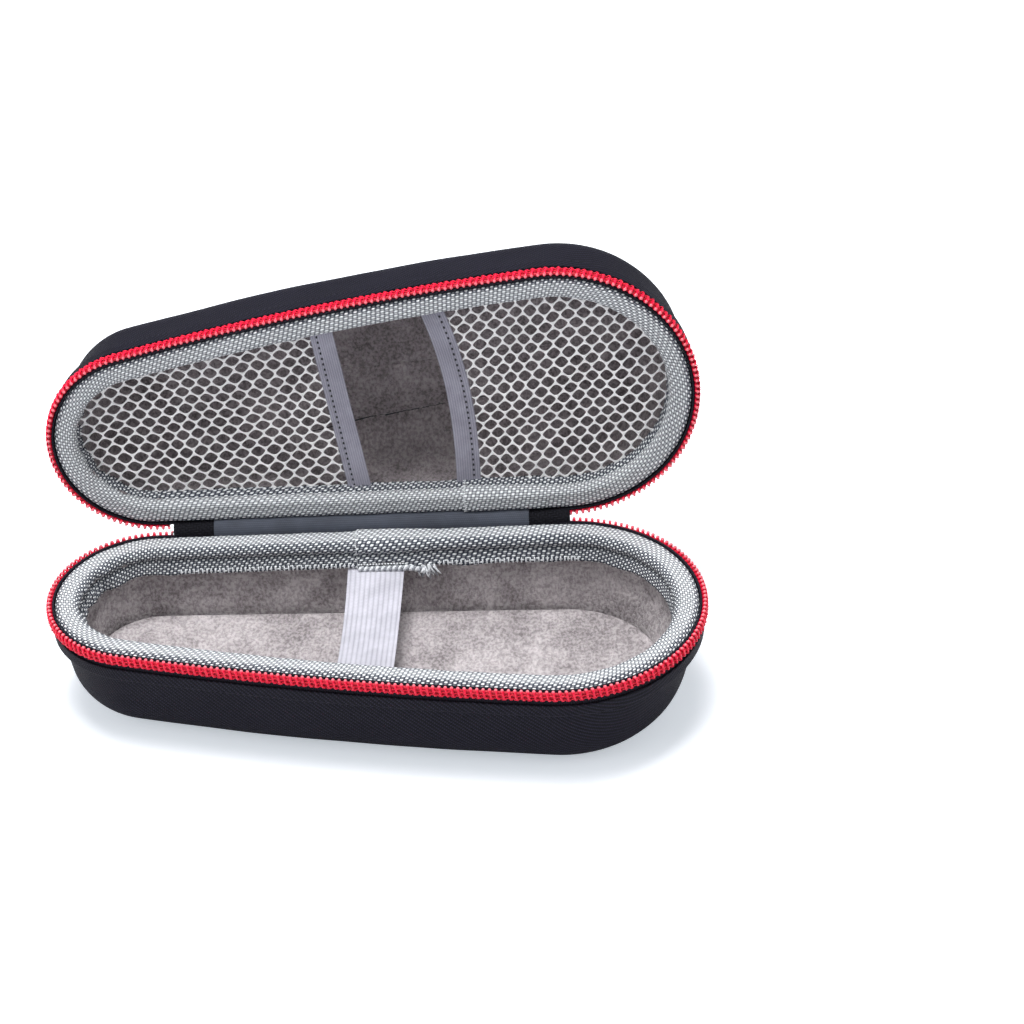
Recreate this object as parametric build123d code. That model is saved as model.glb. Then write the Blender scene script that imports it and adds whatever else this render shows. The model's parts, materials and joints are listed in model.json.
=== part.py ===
"""Clamshell hard case for an electric shaver, standing open, in millimetres.

X runs along the hinge, Y goes from the front to the hinge, Z is up. The base
stands on Z = 0 and its outline is centred on the origin. A profile is drawn as
(n, d): n is outward from the plane of the zip tape, d is the depth from the
parting plane into that half of the case.
"""

import math
import os

from build123d import *

os.makedirs("parts", exist_ok=True)

# Outline at the zip tape
LENGTH = 196.0
R_LEFT = 30.0
R_RIGHT = 41.5
R_FRONT = 850.0

# Depths and the lid's pose
BASE_DEPTH = 35.0
LID_DEPTH = 34.5
LID_OPEN = 92.0
HINGE_OFFSET = 2.0

# Shell walls
SKIN = 0.5
FOAM = 2.5
LINING = 0.85
GLUE = 0.05
SHELL_N = -1.4
WALL_STEP = 0.6
WALL_DRAFT = 2.4
R_BOTTOM = 15.5
BASE_R_INSIDE = 4.0
LID_R_INSIDE = 12.0
PAD_THICK = 6.0

# Rim
TAPE = 0.6
TAPE_TOP = 0.3
TAPE_DEEP = 10.0
BINDING = 0.65
BINDING_OUT = -1.8
BINDING_IN = -7.9
BINDING_TOP = 0.2
BINDING_DEEP = 13.2
LID_BINDING_DEEP = 8.4

# Zip
PITCH = 1.85
TOOTH = 0.75
COIL_OUT = 1.9
COIL_CORE = 0.9
COIL_DEEP = 3.4
HEAD = 0.4
CORE_TOP = 0.5

# Hinge strip
WEB_INTO_LEFT = 4.0
WEB_INTO_RIGHT = 0.3
WEB = 0.8
WEB_TOP = 1.0
WEB_DEEP = 12.0
RIBBON = 0.35
RIBBON_SHORT = 12.0

# Elastic strap and pockets
STRAP_WIDE = 17.5
STRAP_THICK = 1.0
STRAP_X_BACK = -1.5
STRAP_X_FRONT = -3.0
STRAP_DEPTH = 13.9
STRAP_SAG = 0.8
NET = 0.5
NET_DEPTH = 6.6
ELASTIC = 1.0

# Slider and the end of the zip it is parked on
TAIL_LONG = 27.0
TAIL_DEPTH = 8.0
TAIL_TAPE = 0.5
SLIDER_FROM_END = 8.5
SLIDER_LONG = 10.4
SLIDER_WIDE = 8.2
WING = 0.85
RUN = 0.2
POST = 1.8
TAB_LONG = 19.0
TAB_WIDE = 5.6
TAB_THICK = 1.1

BACK_Y = R_RIGHT
HINGE_Y = BACK_Y + HINGE_OFFSET
HINGE = Axis((0, HINGE_Y, BASE_DEPTH), (-1, 0, 0))
UP = (0, 0, 1)

C_LEFT = (R_LEFT - LENGTH / 2, BACK_Y - R_LEFT)
C_RIGHT = (LENGTH / 2 - R_RIGHT, BACK_Y - R_RIGHT)
WEB_LEFT = C_LEFT[0] + WEB_INTO_LEFT
WEB_RIGHT = C_RIGHT[0] - WEB_INTO_RIGHT


def front_centre():
    """Centre of the slightly bowed front, tangent inside to both end circles."""
    dx = C_RIGHT[0] - C_LEFT[0]
    dy = C_RIGHT[1] - C_LEFT[1]
    gap = math.hypot(dx, dy)
    left = R_FRONT - R_LEFT
    right = R_FRONT - R_RIGHT
    along = (left**2 - right**2 + gap**2) / (2 * gap)
    across = math.sqrt(left**2 - along**2)
    ux, uy = dx / gap, dy / gap
    return (C_LEFT[0] + ux * along - uy * across, C_LEFT[1] + uy * along + ux * across)


C_FRONT = front_centre()
A_LEFT = math.degrees(math.atan2(C_LEFT[1] - C_FRONT[1], C_LEFT[0] - C_FRONT[0]))
A_RIGHT = math.degrees(math.atan2(C_RIGHT[1] - C_FRONT[1], C_RIGHT[0] - C_FRONT[0]))

# The three arcs of the rim: centre, radius, first angle, turn
ARCS = [
    (C_LEFT, R_LEFT, 90.0, A_LEFT + 360.0 - 90.0),
    (C_FRONT, R_FRONT, A_LEFT, A_RIGHT - A_LEFT),
    (C_RIGHT, R_RIGHT, A_RIGHT, 90.0 - A_RIGHT),
]


def spot(centre, radius, angle):
    """Point on a circle in plan."""
    a = math.radians(angle)
    return (centre[0] + radius * math.cos(a), centre[1] + radius * math.sin(a))


def outline_face(n):
    """Plan of the case, n outside the zip tape's plane."""
    edges = []
    for centre, radius, first, turn in ARCS:
        r = radius + n
        edges.append(
            ThreePointArc(
                spot(centre, r, first),
                spot(centre, r, first + turn / 2),
                spot(centre, r, first + turn),
            )
        )
    edges.append(Line(spot(C_RIGHT, R_RIGHT + n, 90), spot(C_LEFT, R_LEFT + n, 90)))
    return make_face(edges)


def rounded(corners):
    """Closed loop of lines and arcs. A corner is (x, y) or (x, y, radius)."""
    cut = []
    for i, corner in enumerate(corners):
        here = Vector(corner[0], corner[1])
        before = Vector(*corners[i - 1][:2])
        after = Vector(*corners[(i + 1) % len(corners)][:2])
        if len(corner) < 3:
            cut.append((here, None, here))
            continue
        u = (before - here).normalized()
        v = (after - here).normalized()
        angle = math.radians(u.get_angle(v))
        reach = corner[2] / math.tan(angle / 2)
        middle = here + (u + v).normalized() * (corner[2] / math.sin(angle / 2) - corner[2])
        cut.append((here + u * reach, middle, here + v * reach))
    edges = []
    for i, (start, middle, end) in enumerate(cut):
        if middle is not None:
            edges.append(ThreePointArc(start, middle, end))
        following = cut[(i + 1) % len(cut)][0]
        if (following - end).length > 1e-6:
            edges.append(Line(end, following))
    return make_face(edges)


def profile(points, plane, shift, half):
    """Face of a profile (n, d) on an upright plane, shift from the plane's origin."""
    sign = -1 if half == "base" else 1
    moved = [(p[0] + shift, BASE_DEPTH + sign * p[1], *p[2:]) for p in points]
    return plane * rounded(moved)


def on_arc(points, half, centre, radius, first, turn):
    """Profile carried round one arc of the rim."""
    a = math.radians(first)
    out = (math.cos(a), math.sin(a), 0)
    side = (math.sin(a), -math.cos(a), 0)
    plane = Plane(origin=(centre[0], centre[1], 0), x_dir=out, z_dir=side)
    face = profile(points, plane, radius, half)
    return revolve(face, Axis((centre[0], centre[1], 0), UP), turn)


def on_back(points, half, x_from, x_to):
    """Profile carried along the straight back."""
    plane = Plane(origin=(x_from, BACK_Y, 0), x_dir=(0, 1, 0), z_dir=(1, 0, 0))
    return extrude(profile(points, plane, 0, half), x_to - x_from, dir=(1, 0, 0))


def round_rim(points, half, with_hinge=True):
    """Profile carried round the whole rim, or all of it but the hinge strip."""
    pieces = [on_arc(points, half, *arc) for arc in ARCS]
    if with_hinge:
        pieces.append(on_back(points, half, C_LEFT[0], C_RIGHT[0]))
    else:
        pieces.append(on_back(points, half, C_LEFT[0], WEB_LEFT - 0.3))
    return pieces[0].fuse(*pieces[1:]).clean()


def in_place(shape, half):
    """The lid is drawn closed and turned to its open pose."""
    return shape.rotate(HINGE, LID_OPEN) if half == "lid" else shape


def save(name, shape):
    """Write one piece."""
    solids = shape.solids()
    whole = solids[0] if len(solids) == 1 else Compound(children=list(solids))
    export_step(whole, f"parts/{name}.step")


def bowl(points, half, floor_from, floor_to, n_floor):
    """Side wall with its rounded bottom, closed by a flat floor."""
    sign = -1 if half == "base" else 1
    plug = extrude(outline_face(n_floor), floor_to - floor_from, dir=(0, 0, sign))
    plug = plug.moved(Location((0, 0, BASE_DEPTH + sign * floor_from)))
    return round_rim(points, half).fuse(plug).clean()


def shell_layers(half):
    """Cover, foam and lining of one half, each a bowl inside the one before."""
    deep = BASE_DEPTH if half == "base" else LID_DEPTH
    r_in = BASE_R_INSIDE if half == "base" else LID_R_INSIDE
    low = SHELL_N - WALL_STEP
    foot = low - WALL_DRAFT
    a = SKIN + GLUE
    b = deep - a - FOAM
    wall_in = BINDING_IN + BINDING + LINING + 2 * GLUE + 0.1
    step_in = BINDING_DEEP + 0.3
    n_in = min(foot - R_BOTTOM, wall_in - WALL_DRAFT - r_in - LINING) - 0.5
    cover = [
        (SHELL_N, 4.0),
        (SHELL_N, TAPE_DEEP - 0.4),
        (low, TAPE_DEEP + 0.6),
        (foot, deep, R_BOTTOM),
        (n_in, deep),
        (n_in, deep - SKIN),
        (foot - SKIN, deep - SKIN, R_BOTTOM - SKIN),
        (low - SKIN, TAPE_DEEP + 0.6),
        (SHELL_N - SKIN, TAPE_DEEP - 0.4),
        (SHELL_N - SKIN, 4.0),
    ]
    foam = [
        (BINDING_OUT - BINDING - 0.15, 1.0, 0.8),
        (BINDING_OUT - BINDING - 0.15, 3.7),
        (SHELL_N - a, 4.2),
        (SHELL_N - a, TAPE_DEEP - 0.4),
        (low - a, TAPE_DEEP + 0.6),
        (foot - a, deep - a, R_BOTTOM - a),
        (n_in, deep - a),
        (n_in, b),
        (wall_in - WALL_DRAFT, b, r_in + LINING + GLUE),
        (wall_in, step_in),
        (wall_in, 1.0),
    ]
    c = wall_in - GLUE
    d = b - GLUE
    lining = [
        (c, 1.7),
        (c, step_in),
        (c - WALL_DRAFT, d, r_in + LINING),
        (n_in, d),
        (n_in, d - LINING),
        (c - WALL_DRAFT - LINING, d - LINING, r_in),
        (c - LINING, step_in),
        (c - LINING, 1.7),
    ]
    save(f"{half}_outer_cover", in_place(bowl(cover, half, deep - SKIN, deep, n_in), half))
    save(f"{half}_foam_shell", in_place(bowl(foam, half, b, deep - a, n_in), half))
    save(f"{half}_lining", in_place(bowl(lining, half, d - LINING, d, n_in), half))
    return d - LINING, c - WALL_DRAFT - LINING


def rim_binding(half):
    """Woven strip folded over the rim, with its legs on both faces of the shell."""
    t = BINDING
    leg = -TAPE - 0.1
    deep = BINDING_DEEP if half == "base" else LID_BINDING_DEEP
    points = [
        (leg, 8.0),
        (leg, 3.3),
        (BINDING_OUT, 2.4),
        (BINDING_OUT, BINDING_TOP, 1.4),
        (BINDING_IN, BINDING_TOP, 2.0),
        (BINDING_IN, deep),
        (BINDING_IN + t, deep),
        (BINDING_IN + t, BINDING_TOP + t, 1.35),
        (BINDING_OUT - t, BINDING_TOP + t, 0.75),
        (BINDING_OUT - t, 2.8),
        (leg - t, 3.7),
        (leg - t, 8.0),
    ]
    save(f"{half}_rim_binding", in_place(round_rim(points, half), half))


def zip_tape(half):
    """Black tape standing upright round the rim, from one end of the hinge to the other."""
    points = [(-TAPE, TAPE_TOP), (0, TAPE_TOP), (0, TAPE_DEEP), (-TAPE, TAPE_DEEP)]
    save(f"{half}_zip_tape", in_place(round_rim(points, half, with_hinge=False), half))


def rim_stations(start, step):
    """Places at equal steps along the zip's line: point and outward direction."""
    lengths = [WEB_INTO_LEFT] + [math.radians(arc[3]) * arc[1] for arc in ARCS]
    count = int((sum(lengths) - 2 * start) / step)
    found = []
    for i in range(count + 1):
        s = start + i * step
        leg = 0
        while s > lengths[leg]:
            s -= lengths[leg]
            leg += 1
        if leg == 0:
            found.append(((WEB_LEFT - s, BACK_Y), (0.0, 1.0)))
            continue
        centre, radius, first, _ = ARCS[leg - 1]
        angle = first + math.degrees(s / radius)
        a = math.radians(angle)
        found.append((spot(centre, radius, angle), (math.cos(a), math.sin(a))))
    return found


def zip_coil(half):
    """Half of the zip chain: a core sewn to the tape, turns across it, heads that mesh."""
    start = 1.2 if half == "base" else 1.2 + PITCH / 2
    inner = 0.05
    points = []
    for (x, y), (ox, oy) in rim_stations(start, PITCH):
        for side, n in ((-1, COIL_CORE), (-1, COIL_OUT), (1, COIL_OUT), (1, COIL_CORE)):
            w = side * TOOTH / 2
            points.append((x + ox * n - oy * w, y + oy * n + ox * w))
    begin = (points[0][0], BACK_Y + inner)
    last_x = points[-1][0] - C_RIGHT[0]
    last_y = points[-1][1] - C_RIGHT[1]
    stop = math.degrees(math.atan2(last_y, last_x))
    edges = [Line(begin, spot(C_LEFT, R_LEFT + inner, 90))]
    for centre, radius, first, turn in ARCS:
        r = radius + inner
        last = stop if centre is C_RIGHT else first + turn
        edges.append(
            ThreePointArc(
                spot(centre, r, first),
                spot(centre, r, (first + last) / 2),
                spot(centre, r, last),
            )
        )
    edges.append(Polyline(spot(C_RIGHT, R_RIGHT + inner, stop), *reversed(points), begin))
    sign = -1 if half == "base" else 1
    comb = extrude(make_face(edges), COIL_DEEP + HEAD, dir=(0, 0, sign))
    comb = comb.moved(Location((0, 0, BASE_DEPTH - sign * HEAD)))
    core_n = COIL_CORE + 0.1
    top = [(-1, -1), (core_n, -1), (core_n, CORE_TOP), (-1, CORE_TOP)]
    save(f"{half}_zip_coil", in_place(comb.cut(round_rim(top, half)), half))


def front_wall_y(x, n):
    """Y of the bowed front at x, n outside the tape's plane."""
    return C_FRONT[1] - math.sqrt((R_FRONT + n) ** 2 - (x - C_FRONT[0]) ** 2)


def elastic_strap():
    """Ribbed elastic across the base, its ends tucked under the binding."""
    y_back = BACK_Y + BINDING_IN + 2.0
    y_front = front_wall_y(STRAP_X_FRONT, BINDING_IN) - 2.0
    sections = []
    for t in (0.0, 0.25, 0.5, 0.75, 1.0):
        x = STRAP_X_BACK + (STRAP_X_FRONT - STRAP_X_BACK) * t
        y = y_back + (y_front - y_back) * t
        z = BASE_DEPTH - STRAP_DEPTH - STRAP_SAG * math.sin(math.pi * t)
        plane = Plane(origin=(x, y, z), x_dir=(1, 0, 0), z_dir=(0, -1, 0))
        sections.append(plane * Rectangle(STRAP_WIDE, STRAP_THICK).face())
    room = extrude(outline_face(BINDING_IN + BINDING - GLUE - 0.1), BASE_DEPTH, dir=UP)
    save("elastic_strap", loft(sections) & room)


def floor_pad(level, n_wall):
    """Fleece-covered pad that lies on the floor of the base."""
    pad = extrude(outline_face(n_wall - 0.15), PAD_THICK, dir=UP)
    pad = pad.moved(Location((0, 0, BASE_DEPTH - level + GLUE)))
    pad = fillet(pad.edges().group_by(Axis.Z)[0], BASE_R_INSIDE + 0.1)
    save("base_floor_pad", fillet(pad.edges().group_by(Axis.Z)[-1], 0.9))


def left_border(t):
    """X of the left pocket's free edge and of its seam, from the back to the front."""
    free = -1.9 - 9.9 * t
    return free, free - 7.2


def right_border(t):
    """X of the right pocket's free edge and of its seam, curved."""
    free = 24.0 + 2.0 * t - 13.0 * t**2.6
    return free, free + 7.4


def pocket(side, border, mesh_name, elastic_name):
    """Net across one end of the lid's mouth, with an elastic along its free edge."""
    inside = outline_face(BINDING_IN - 0.15)
    back = BACK_Y - 4.0
    front = BACK_Y - 2 * R_RIGHT + 4.0
    free = []
    seam = []
    for t in (0.0, 0.2, 0.4, 0.6, 0.8, 1.0):
        y = back + (front - back) * t
        x_free, x_seam = border(t)
        free.append((x_free, y))
        seam.append((x_seam, y))
    far = side * LENGTH
    beyond = Polyline(seam[-1], (far, seam[-1][1]), (far, seam[0][1]), seam[0])
    net = (inside & make_face([Spline(*seam), beyond])).face()
    net = extrude(net, NET, dir=UP)
    net = net.moved(Location((0, 0, BASE_DEPTH + NET_DEPTH)))
    save(mesh_name, in_place(net, "lid"))
    ends = [Line(seam[-1], free[-1]), Line(free[0], seam[0])]
    strip = (inside & make_face([Spline(*seam), Spline(*free), *ends])).face()
    strip = extrude(strip, ELASTIC, dir=UP)
    strip = strip.moved(Location((0, 0, BASE_DEPTH + NET_DEPTH - (ELASTIC - NET) / 2)))
    save(elastic_name, in_place(strip, "lid"))


def strip_over_hinge(n, thick, depth, x_from, x_to):
    """Strip up the base's back rim, round the hinge and along the lid's back rim."""
    half_open = math.radians(LID_OPEN / 2)
    turn = 2 * half_open

    def side(m, radius_shift):
        arm = HINGE_OFFSET - m
        corner = (BACK_Y + m, BASE_DEPTH + arm * math.tan(half_open))
        low = (BACK_Y + m, BASE_DEPTH - depth)
        end_y = HINGE_Y - arm * math.cos(turn) + depth * math.sin(turn)
        end_z = BASE_DEPTH + arm * math.sin(turn) + depth * math.cos(turn)
        reach = WEB_TOP + arm * math.tan(half_open)
        radius = reach * math.tan(math.pi / 2 - half_open)
        return low, (*corner, radius + radius_shift), (end_y, end_z)

    inner = side(n, 0.0)
    outer = side(n + thick, 0.0)
    plane = Plane(origin=(x_from, 0, 0), x_dir=(0, 1, 0), z_dir=(1, 0, 0))
    face = plane * rounded([*inner, *reversed(outer)])
    return extrude(face, x_to - x_from, dir=(1, 0, 0))


def hinge():
    """Webbing that joins the halves, and the ribbon over its inside."""
    webbing = strip_over_hinge(-TAPE, WEB, WEB_DEEP, WEB_LEFT, WEB_RIGHT)
    save("hinge_webbing", webbing)
    n = -TAPE - 0.05 - RIBBON
    left = WEB_LEFT + RIBBON_SHORT
    ribbon = strip_over_hinge(n, RIBBON, 3.0, left, WEB_RIGHT - RIBBON_SHORT)
    save("hinge_inner_ribbon", ribbon)


def back_plane(x, d, n):
    """Plane on the back of the base at x, d and n: local X to the left, Y up, Z outward."""
    origin = (x, BACK_Y + n, BASE_DEPTH - d)
    return Plane(origin=origin, x_dir=(-1, 0, 0), z_dir=(0, 1, 0))


def zip_tail():
    """Last stretch of the zip behind the hinge: tape sewn on as a tunnel, and its chain."""
    web_face = WEB - TAPE
    tape_n = web_face + 0.05 + RUN + WING + RUN
    chain_n = tape_n + TAIL_TAPE + 0.05
    right = WEB_LEFT + 0.5 + TAIL_LONG
    flat = SLIDER_WIDE / 2 + 0.5
    rise = tape_n - web_face - 0.05
    t = TAIL_TAPE
    outside = [(-flat - 2.6, 0), (-flat - 1.2, 0), (-flat, rise), (flat, rise)]
    outside += [(flat + 1.2, 0), (flat + 2.6, 0)]
    inside = [(flat + 2.6, t), (flat + 1.2 - t / 2, t), (flat - t / 2, rise + t)]
    inside += [(-flat + t / 2, rise + t), (-flat - 1.2 + t / 2, t), (-flat - 2.6, t)]
    plane = Plane(
        origin=(right, BACK_Y + web_face + 0.05, BASE_DEPTH - TAIL_DEPTH),
        x_dir=(0, 0, 1),
        z_dir=(-1, 0, 0),
    )
    tape = extrude(plane * make_face(Polyline(*outside, *inside, close=True)), TAIL_LONG)
    open_from = SLIDER_FROM_END - 0.4
    slit = Pos((open_from + TAIL_LONG + 1) / 2, 0)
    slit = slit * Rectangle(TAIL_LONG + 1 - open_from, POST + 2 * RUN)
    slit = extrude(back_plane(right, TAIL_DEPTH, tape_n - 1) * slit, 3, dir=(0, 1, 0))
    save("zip_tail_tape", tape.cut(slit))
    return tape_n, chain_n, right


def tail_chain(chain_n, right):
    """Both halves of the chain, in mesh behind the slider and parted ahead of it."""
    mesh_end = SLIDER_FROM_END - 0.6
    spread_end = TAIL_LONG - 1.0
    spread = POST / 2 + 0.5

    def lift(s):
        if s < mesh_end:
            return 0.0
        k = min(1.0, (s - mesh_end) / 3.4)
        return spread * k * k * (3 - 2 * k)

    halves = []
    for sign, start in ((1, 2.6), (-1, 2.6 + PITCH / 2)):
        edge = [(start - TOOTH, sign * COIL_DEEP)]
        edge.append((start - TOOTH, sign * CORE_TOP))
        s = start
        while s < spread_end - 1.0:
            off = lift(s)
            edge += [
                (s - TOOTH / 2, sign * (CORE_TOP + off)),
                (s - TOOTH / 2, sign * (off - HEAD)),
                (s + TOOTH / 2, sign * (off - HEAD)),
                (s + TOOTH / 2, sign * (CORE_TOP + off)),
            ]
            s += PITCH
        last = s - PITCH + TOOTH
        edge.append((last, sign * (CORE_TOP + lift(last))))
        edge.append((last, sign * (COIL_DEEP + lift(last))))
        while last > mesh_end:
            last -= PITCH
            edge.append((last, sign * (COIL_DEEP + lift(last))))
        halves.append(make_face(Polyline(*edge, close=True)))
    plane = back_plane(right, TAIL_DEPTH, chain_n)
    thread = Pos(3.6, 0) * Rectangle(2.0, 2 * CORE_TOP + 0.4)
    chain = extrude(plane * (halves[0] + halves[1]), COIL_OUT, dir=(0, 1, 0))
    chain = chain.fuse(extrude(plane * thread, 0.5, dir=(0, 1, 0)))
    save("zip_tail_chain", chain.clean())
    stop = back_plane(right, TAIL_DEPTH, chain_n) * (Pos(1.0, 0) * RectangleRounded(1.5, 5.0, 0.4))
    save("zip_end_stop", extrude(stop, COIL_OUT + 0.2, dir=(0, 1, 0)))


def slider(tape_n, chain_n, right):
    """Two wings joined by the post, the crown on the outer wing, and the pull tab."""
    long = SLIDER_LONG / 2
    wide = SLIDER_WIDE / 2
    wing = rounded(
        [
            (-long, -wide + 0.5, 1.0),
            (-long, wide - 0.5, 1.0),
            (long - 2.6, wide, 1.2),
            (long, 1.9, 1.4),
            (long, -1.9, 1.4),
            (long - 2.6, -wide, 1.2),
        ]
    )
    n_in = tape_n - RUN - WING
    n_out = chain_n + COIL_OUT + RUN
    centre = right - SLIDER_FROM_END

    def layer(face, n_from, n_to):
        return extrude(back_plane(centre, TAIL_DEPTH, n_from) * face, n_to - n_from, dir=(0, 1, 0))

    body = layer(wing, n_in, n_in + WING)
    body = body.fuse(layer(wing, n_out, n_out + WING))
    post = rounded([(2.2, 0, 0.3), (3.6, POST / 2, 0.5), (4.9, 0, 0.3), (3.6, -POST / 2, 0.5)])
    body = body.fuse(layer(post, n_in + WING / 2, n_out + WING / 2))
    rail_in = COIL_DEEP + RUN
    for side in (-1, 1):
        rail = Pos(-long / 2 + 0.4, side * (rail_in + 0.25)) * Rectangle(long - 1.0, 0.5)
        body = body.fuse(layer(rail, tape_n + TAIL_TAPE + RUN, n_out + WING / 2))
    save("zip_slider_body", body.clean())

    top = n_out + WING
    crown_high = 2.3
    crown = [(-4.0, 0.02), (-4.0, crown_high, 1.1), (3.4, crown_high, 1.1), (3.4, 0.02)]
    crown += [(2.5, 0.02), (2.5, crown_high - 0.75, 0.5), (-3.0, crown_high - 0.75, 0.5), (-3.0, 0.02)]
    upright = Plane(
        origin=(centre, BACK_Y + top, BASE_DEPTH - TAIL_DEPTH - 1.1),
        x_dir=(-1, 0, 0),
        z_dir=(0, 0, -1),
    )
    save("slider_crown", extrude(upright * rounded(crown), 2.2, dir=UP))

    pivot = (centre + 0.2, BACK_Y + top + 0.78)
    bar = Cylinder(0.45, TAB_WIDE - 2.4)
    bar = bar.moved(Location((pivot[0], pivot[1], BASE_DEPTH - TAIL_DEPTH)))
    return pivot, bar, top


def pull_tab(pivot, bar, top):
    """Stamped tab: its eye rides on the crown, its plate lies along the hinge side."""
    z = BASE_DEPTH - TAIL_DEPTH
    arm_z = TAB_WIDE / 2 - 0.8
    plate_from = 5.4
    face = rounded(
        [
            (plate_from, -TAB_WIDE / 2, 0.9),
            (TAB_LONG, -TAB_WIDE / 2 + 0.5, 1.6),
            (TAB_LONG, TAB_WIDE / 2 - 0.5, 1.6),
            (plate_from, TAB_WIDE / 2, 0.9),
        ]
    )
    plane = Plane(origin=(pivot[0], pivot[1] + TAB_THICK / 2, z), x_dir=(1, 0, 0), z_dir=(0, -1, 0))
    slot = Pos(TAB_LONG - 3.6, 0) * RectangleRounded(3.4, 1.8, 0.6)
    tab = extrude(plane * (face - slot), TAB_THICK, dir=(0, -1, 0))
    for side in (-1, 1):
        arm = Pos((plate_from + 1.5) / 2 - 0.2, side * arm_z) * Rectangle(plate_from + 1.5, 1.1)
        tab = tab.fuse(extrude(plane * arm, TAB_THICK, dir=(0, -1, 0)))
    save("pull_tab", tab.fuse(bar).clean())


for half_name in ("base", "lid"):
    floor_level, floor_n = shell_layers(half_name)
    if half_name == "base":
        floor_pad(floor_level, floor_n)
    rim_binding(half_name)
    zip_tape(half_name)
    zip_coil(half_name)
elastic_strap()
pocket(-1, left_border, "left_mesh_pocket", "left_pocket_elastic")
pocket(1, right_border, "right_mesh_pocket", "right_pocket_elastic")
hinge()
tape_plane, chain_plane, tail_right = zip_tail()
tail_chain(chain_plane, tail_right)
pull_tab(*slider(tape_plane, chain_plane, tail_right))
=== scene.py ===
"""Looks of a clamshell hard case for an electric shaver, standing open on a table.

Every piece of the rim is drawn in the rim's own measures: s runs along the
zip's line from the middle of the back, n is outward from the zip tape's plane,
and d is the depth from the parting plane into that half of the case. Lengths
are in mm and become metres as a point is put in its place.
"""

import json
import math

import bmesh
import bpy
import numpy as np
from mathutils import Matrix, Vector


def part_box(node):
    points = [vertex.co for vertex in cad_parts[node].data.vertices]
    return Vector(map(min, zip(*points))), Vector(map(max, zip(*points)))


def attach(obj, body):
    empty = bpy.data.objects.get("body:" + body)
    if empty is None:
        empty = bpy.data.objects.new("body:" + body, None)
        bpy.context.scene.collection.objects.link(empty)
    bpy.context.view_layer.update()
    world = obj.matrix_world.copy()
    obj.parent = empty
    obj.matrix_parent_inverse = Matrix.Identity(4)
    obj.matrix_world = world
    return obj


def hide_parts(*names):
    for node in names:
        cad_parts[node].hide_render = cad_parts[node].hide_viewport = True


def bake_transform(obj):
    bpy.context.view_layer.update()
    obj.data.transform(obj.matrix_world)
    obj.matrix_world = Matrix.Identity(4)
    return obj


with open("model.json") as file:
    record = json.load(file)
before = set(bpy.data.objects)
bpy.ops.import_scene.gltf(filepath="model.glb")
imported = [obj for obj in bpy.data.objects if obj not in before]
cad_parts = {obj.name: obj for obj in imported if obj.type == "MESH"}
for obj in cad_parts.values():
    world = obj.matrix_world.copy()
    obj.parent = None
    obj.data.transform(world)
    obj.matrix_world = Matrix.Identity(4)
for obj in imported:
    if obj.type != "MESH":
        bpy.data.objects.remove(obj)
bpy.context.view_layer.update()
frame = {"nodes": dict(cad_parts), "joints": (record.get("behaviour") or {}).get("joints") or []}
MM = 0.001

# ---------------------------------------------------------------------------
# Table and studio. A white table top under soft boxes, seen through a long
# lens from a little above the open lid.
CAMERA_TARGET = np.array([43.28, 1.5, 67.74])
CAMERA_AZIMUTH = math.radians(3.376)
CAMERA_ELEVATION = math.radians(35.803)
CAMERA_ROLL = math.radians(-4.024)
CAMERA_DISTANCE = 1000.9
CAMERA_LENS = 120.27
LAMP_TARGET = np.array([0.0, 0.0, 40.0])
SOFT_BOXES = (
    ("soft_box_top", (-40.0, 40.0, 900.0), 450.0, 10.9),
    ("soft_box_left", (-800.0, -500.0, 600.0), 600.0, 2.5),
    ("soft_box_right", (900.0, -500.0, 700.0), 600.0, 1.9),
)
AIR_LIGHT = 0.38
TABLE_REACH = 3.0
TABLE_SHOWN = 0.47


def unit(vectors):
    """The vectors along the last axis, each made one long."""
    return vectors / np.linalg.norm(vectors, axis=-1, keepdims=True)


def aimed(data, place, target, roll=0.0):
    """Camera or lamp at place that looks at target, both in mm, rolled by an angle."""
    toward = unit(place - target)
    level = unit(np.cross((0.0, 0.0, 1.0), toward))
    upward = np.cross(toward, level)
    turned = level * math.cos(roll) + upward * math.sin(roll)
    raised = upward * math.cos(roll) - level * math.sin(roll)
    columns = np.eye(4)
    columns[:3, :3] = np.stack([turned, raised, toward], axis=1)
    columns[:3, 3] = place * MM
    item = bpy.data.objects.new(data.name, data)
    bpy.context.collection.objects.link(item)
    item.matrix_world = Matrix(columns.tolist())
    return item


def put(socket, value):
    """Links another node's socket to an input, or sets the input to a plain value."""
    if isinstance(value, bpy.types.NodeSocket):
        socket.id_data.links.new(value, socket)
    else:
        socket.default_value = value


def fill(made, **values):
    """Puts values into a node's inputs by name, with _ for a space; gives the node."""
    for key, value in values.items():
        put(made.inputs[key.replace("_", " ")], value)
    return made


def node(tree, kind, **settings):
    """Adds a node. A setting that starts with a capital is an input, any other is one of
    the node's own."""
    made = tree.nodes.new("ShaderNode" + kind)
    for key, value in settings.items():
        if key[0].islower():
            setattr(made, key, value)
    return fill(made, **{key: value for key, value in settings.items() if key[0].isupper()})


def calc(operation, *values):
    """Math node over sockets and numbers, in the tree of its first socket; gives its
    output."""
    tree = next(value.id_data for value in values if isinstance(value, bpy.types.NodeSocket))
    made = node(tree, "Math", operation=operation)
    for socket, value in zip(made.inputs, values):
        put(socket, value)
    return made.outputs[0]


def finish_of(name, **settings):
    """New material for one finish: its Principled shader with plain inputs set."""
    material = bpy.data.materials.new(name)
    material.use_nodes = True
    tree = material.node_tree
    return material, tree, fill(tree.nodes["Principled BSDF"], **settings)


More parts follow.
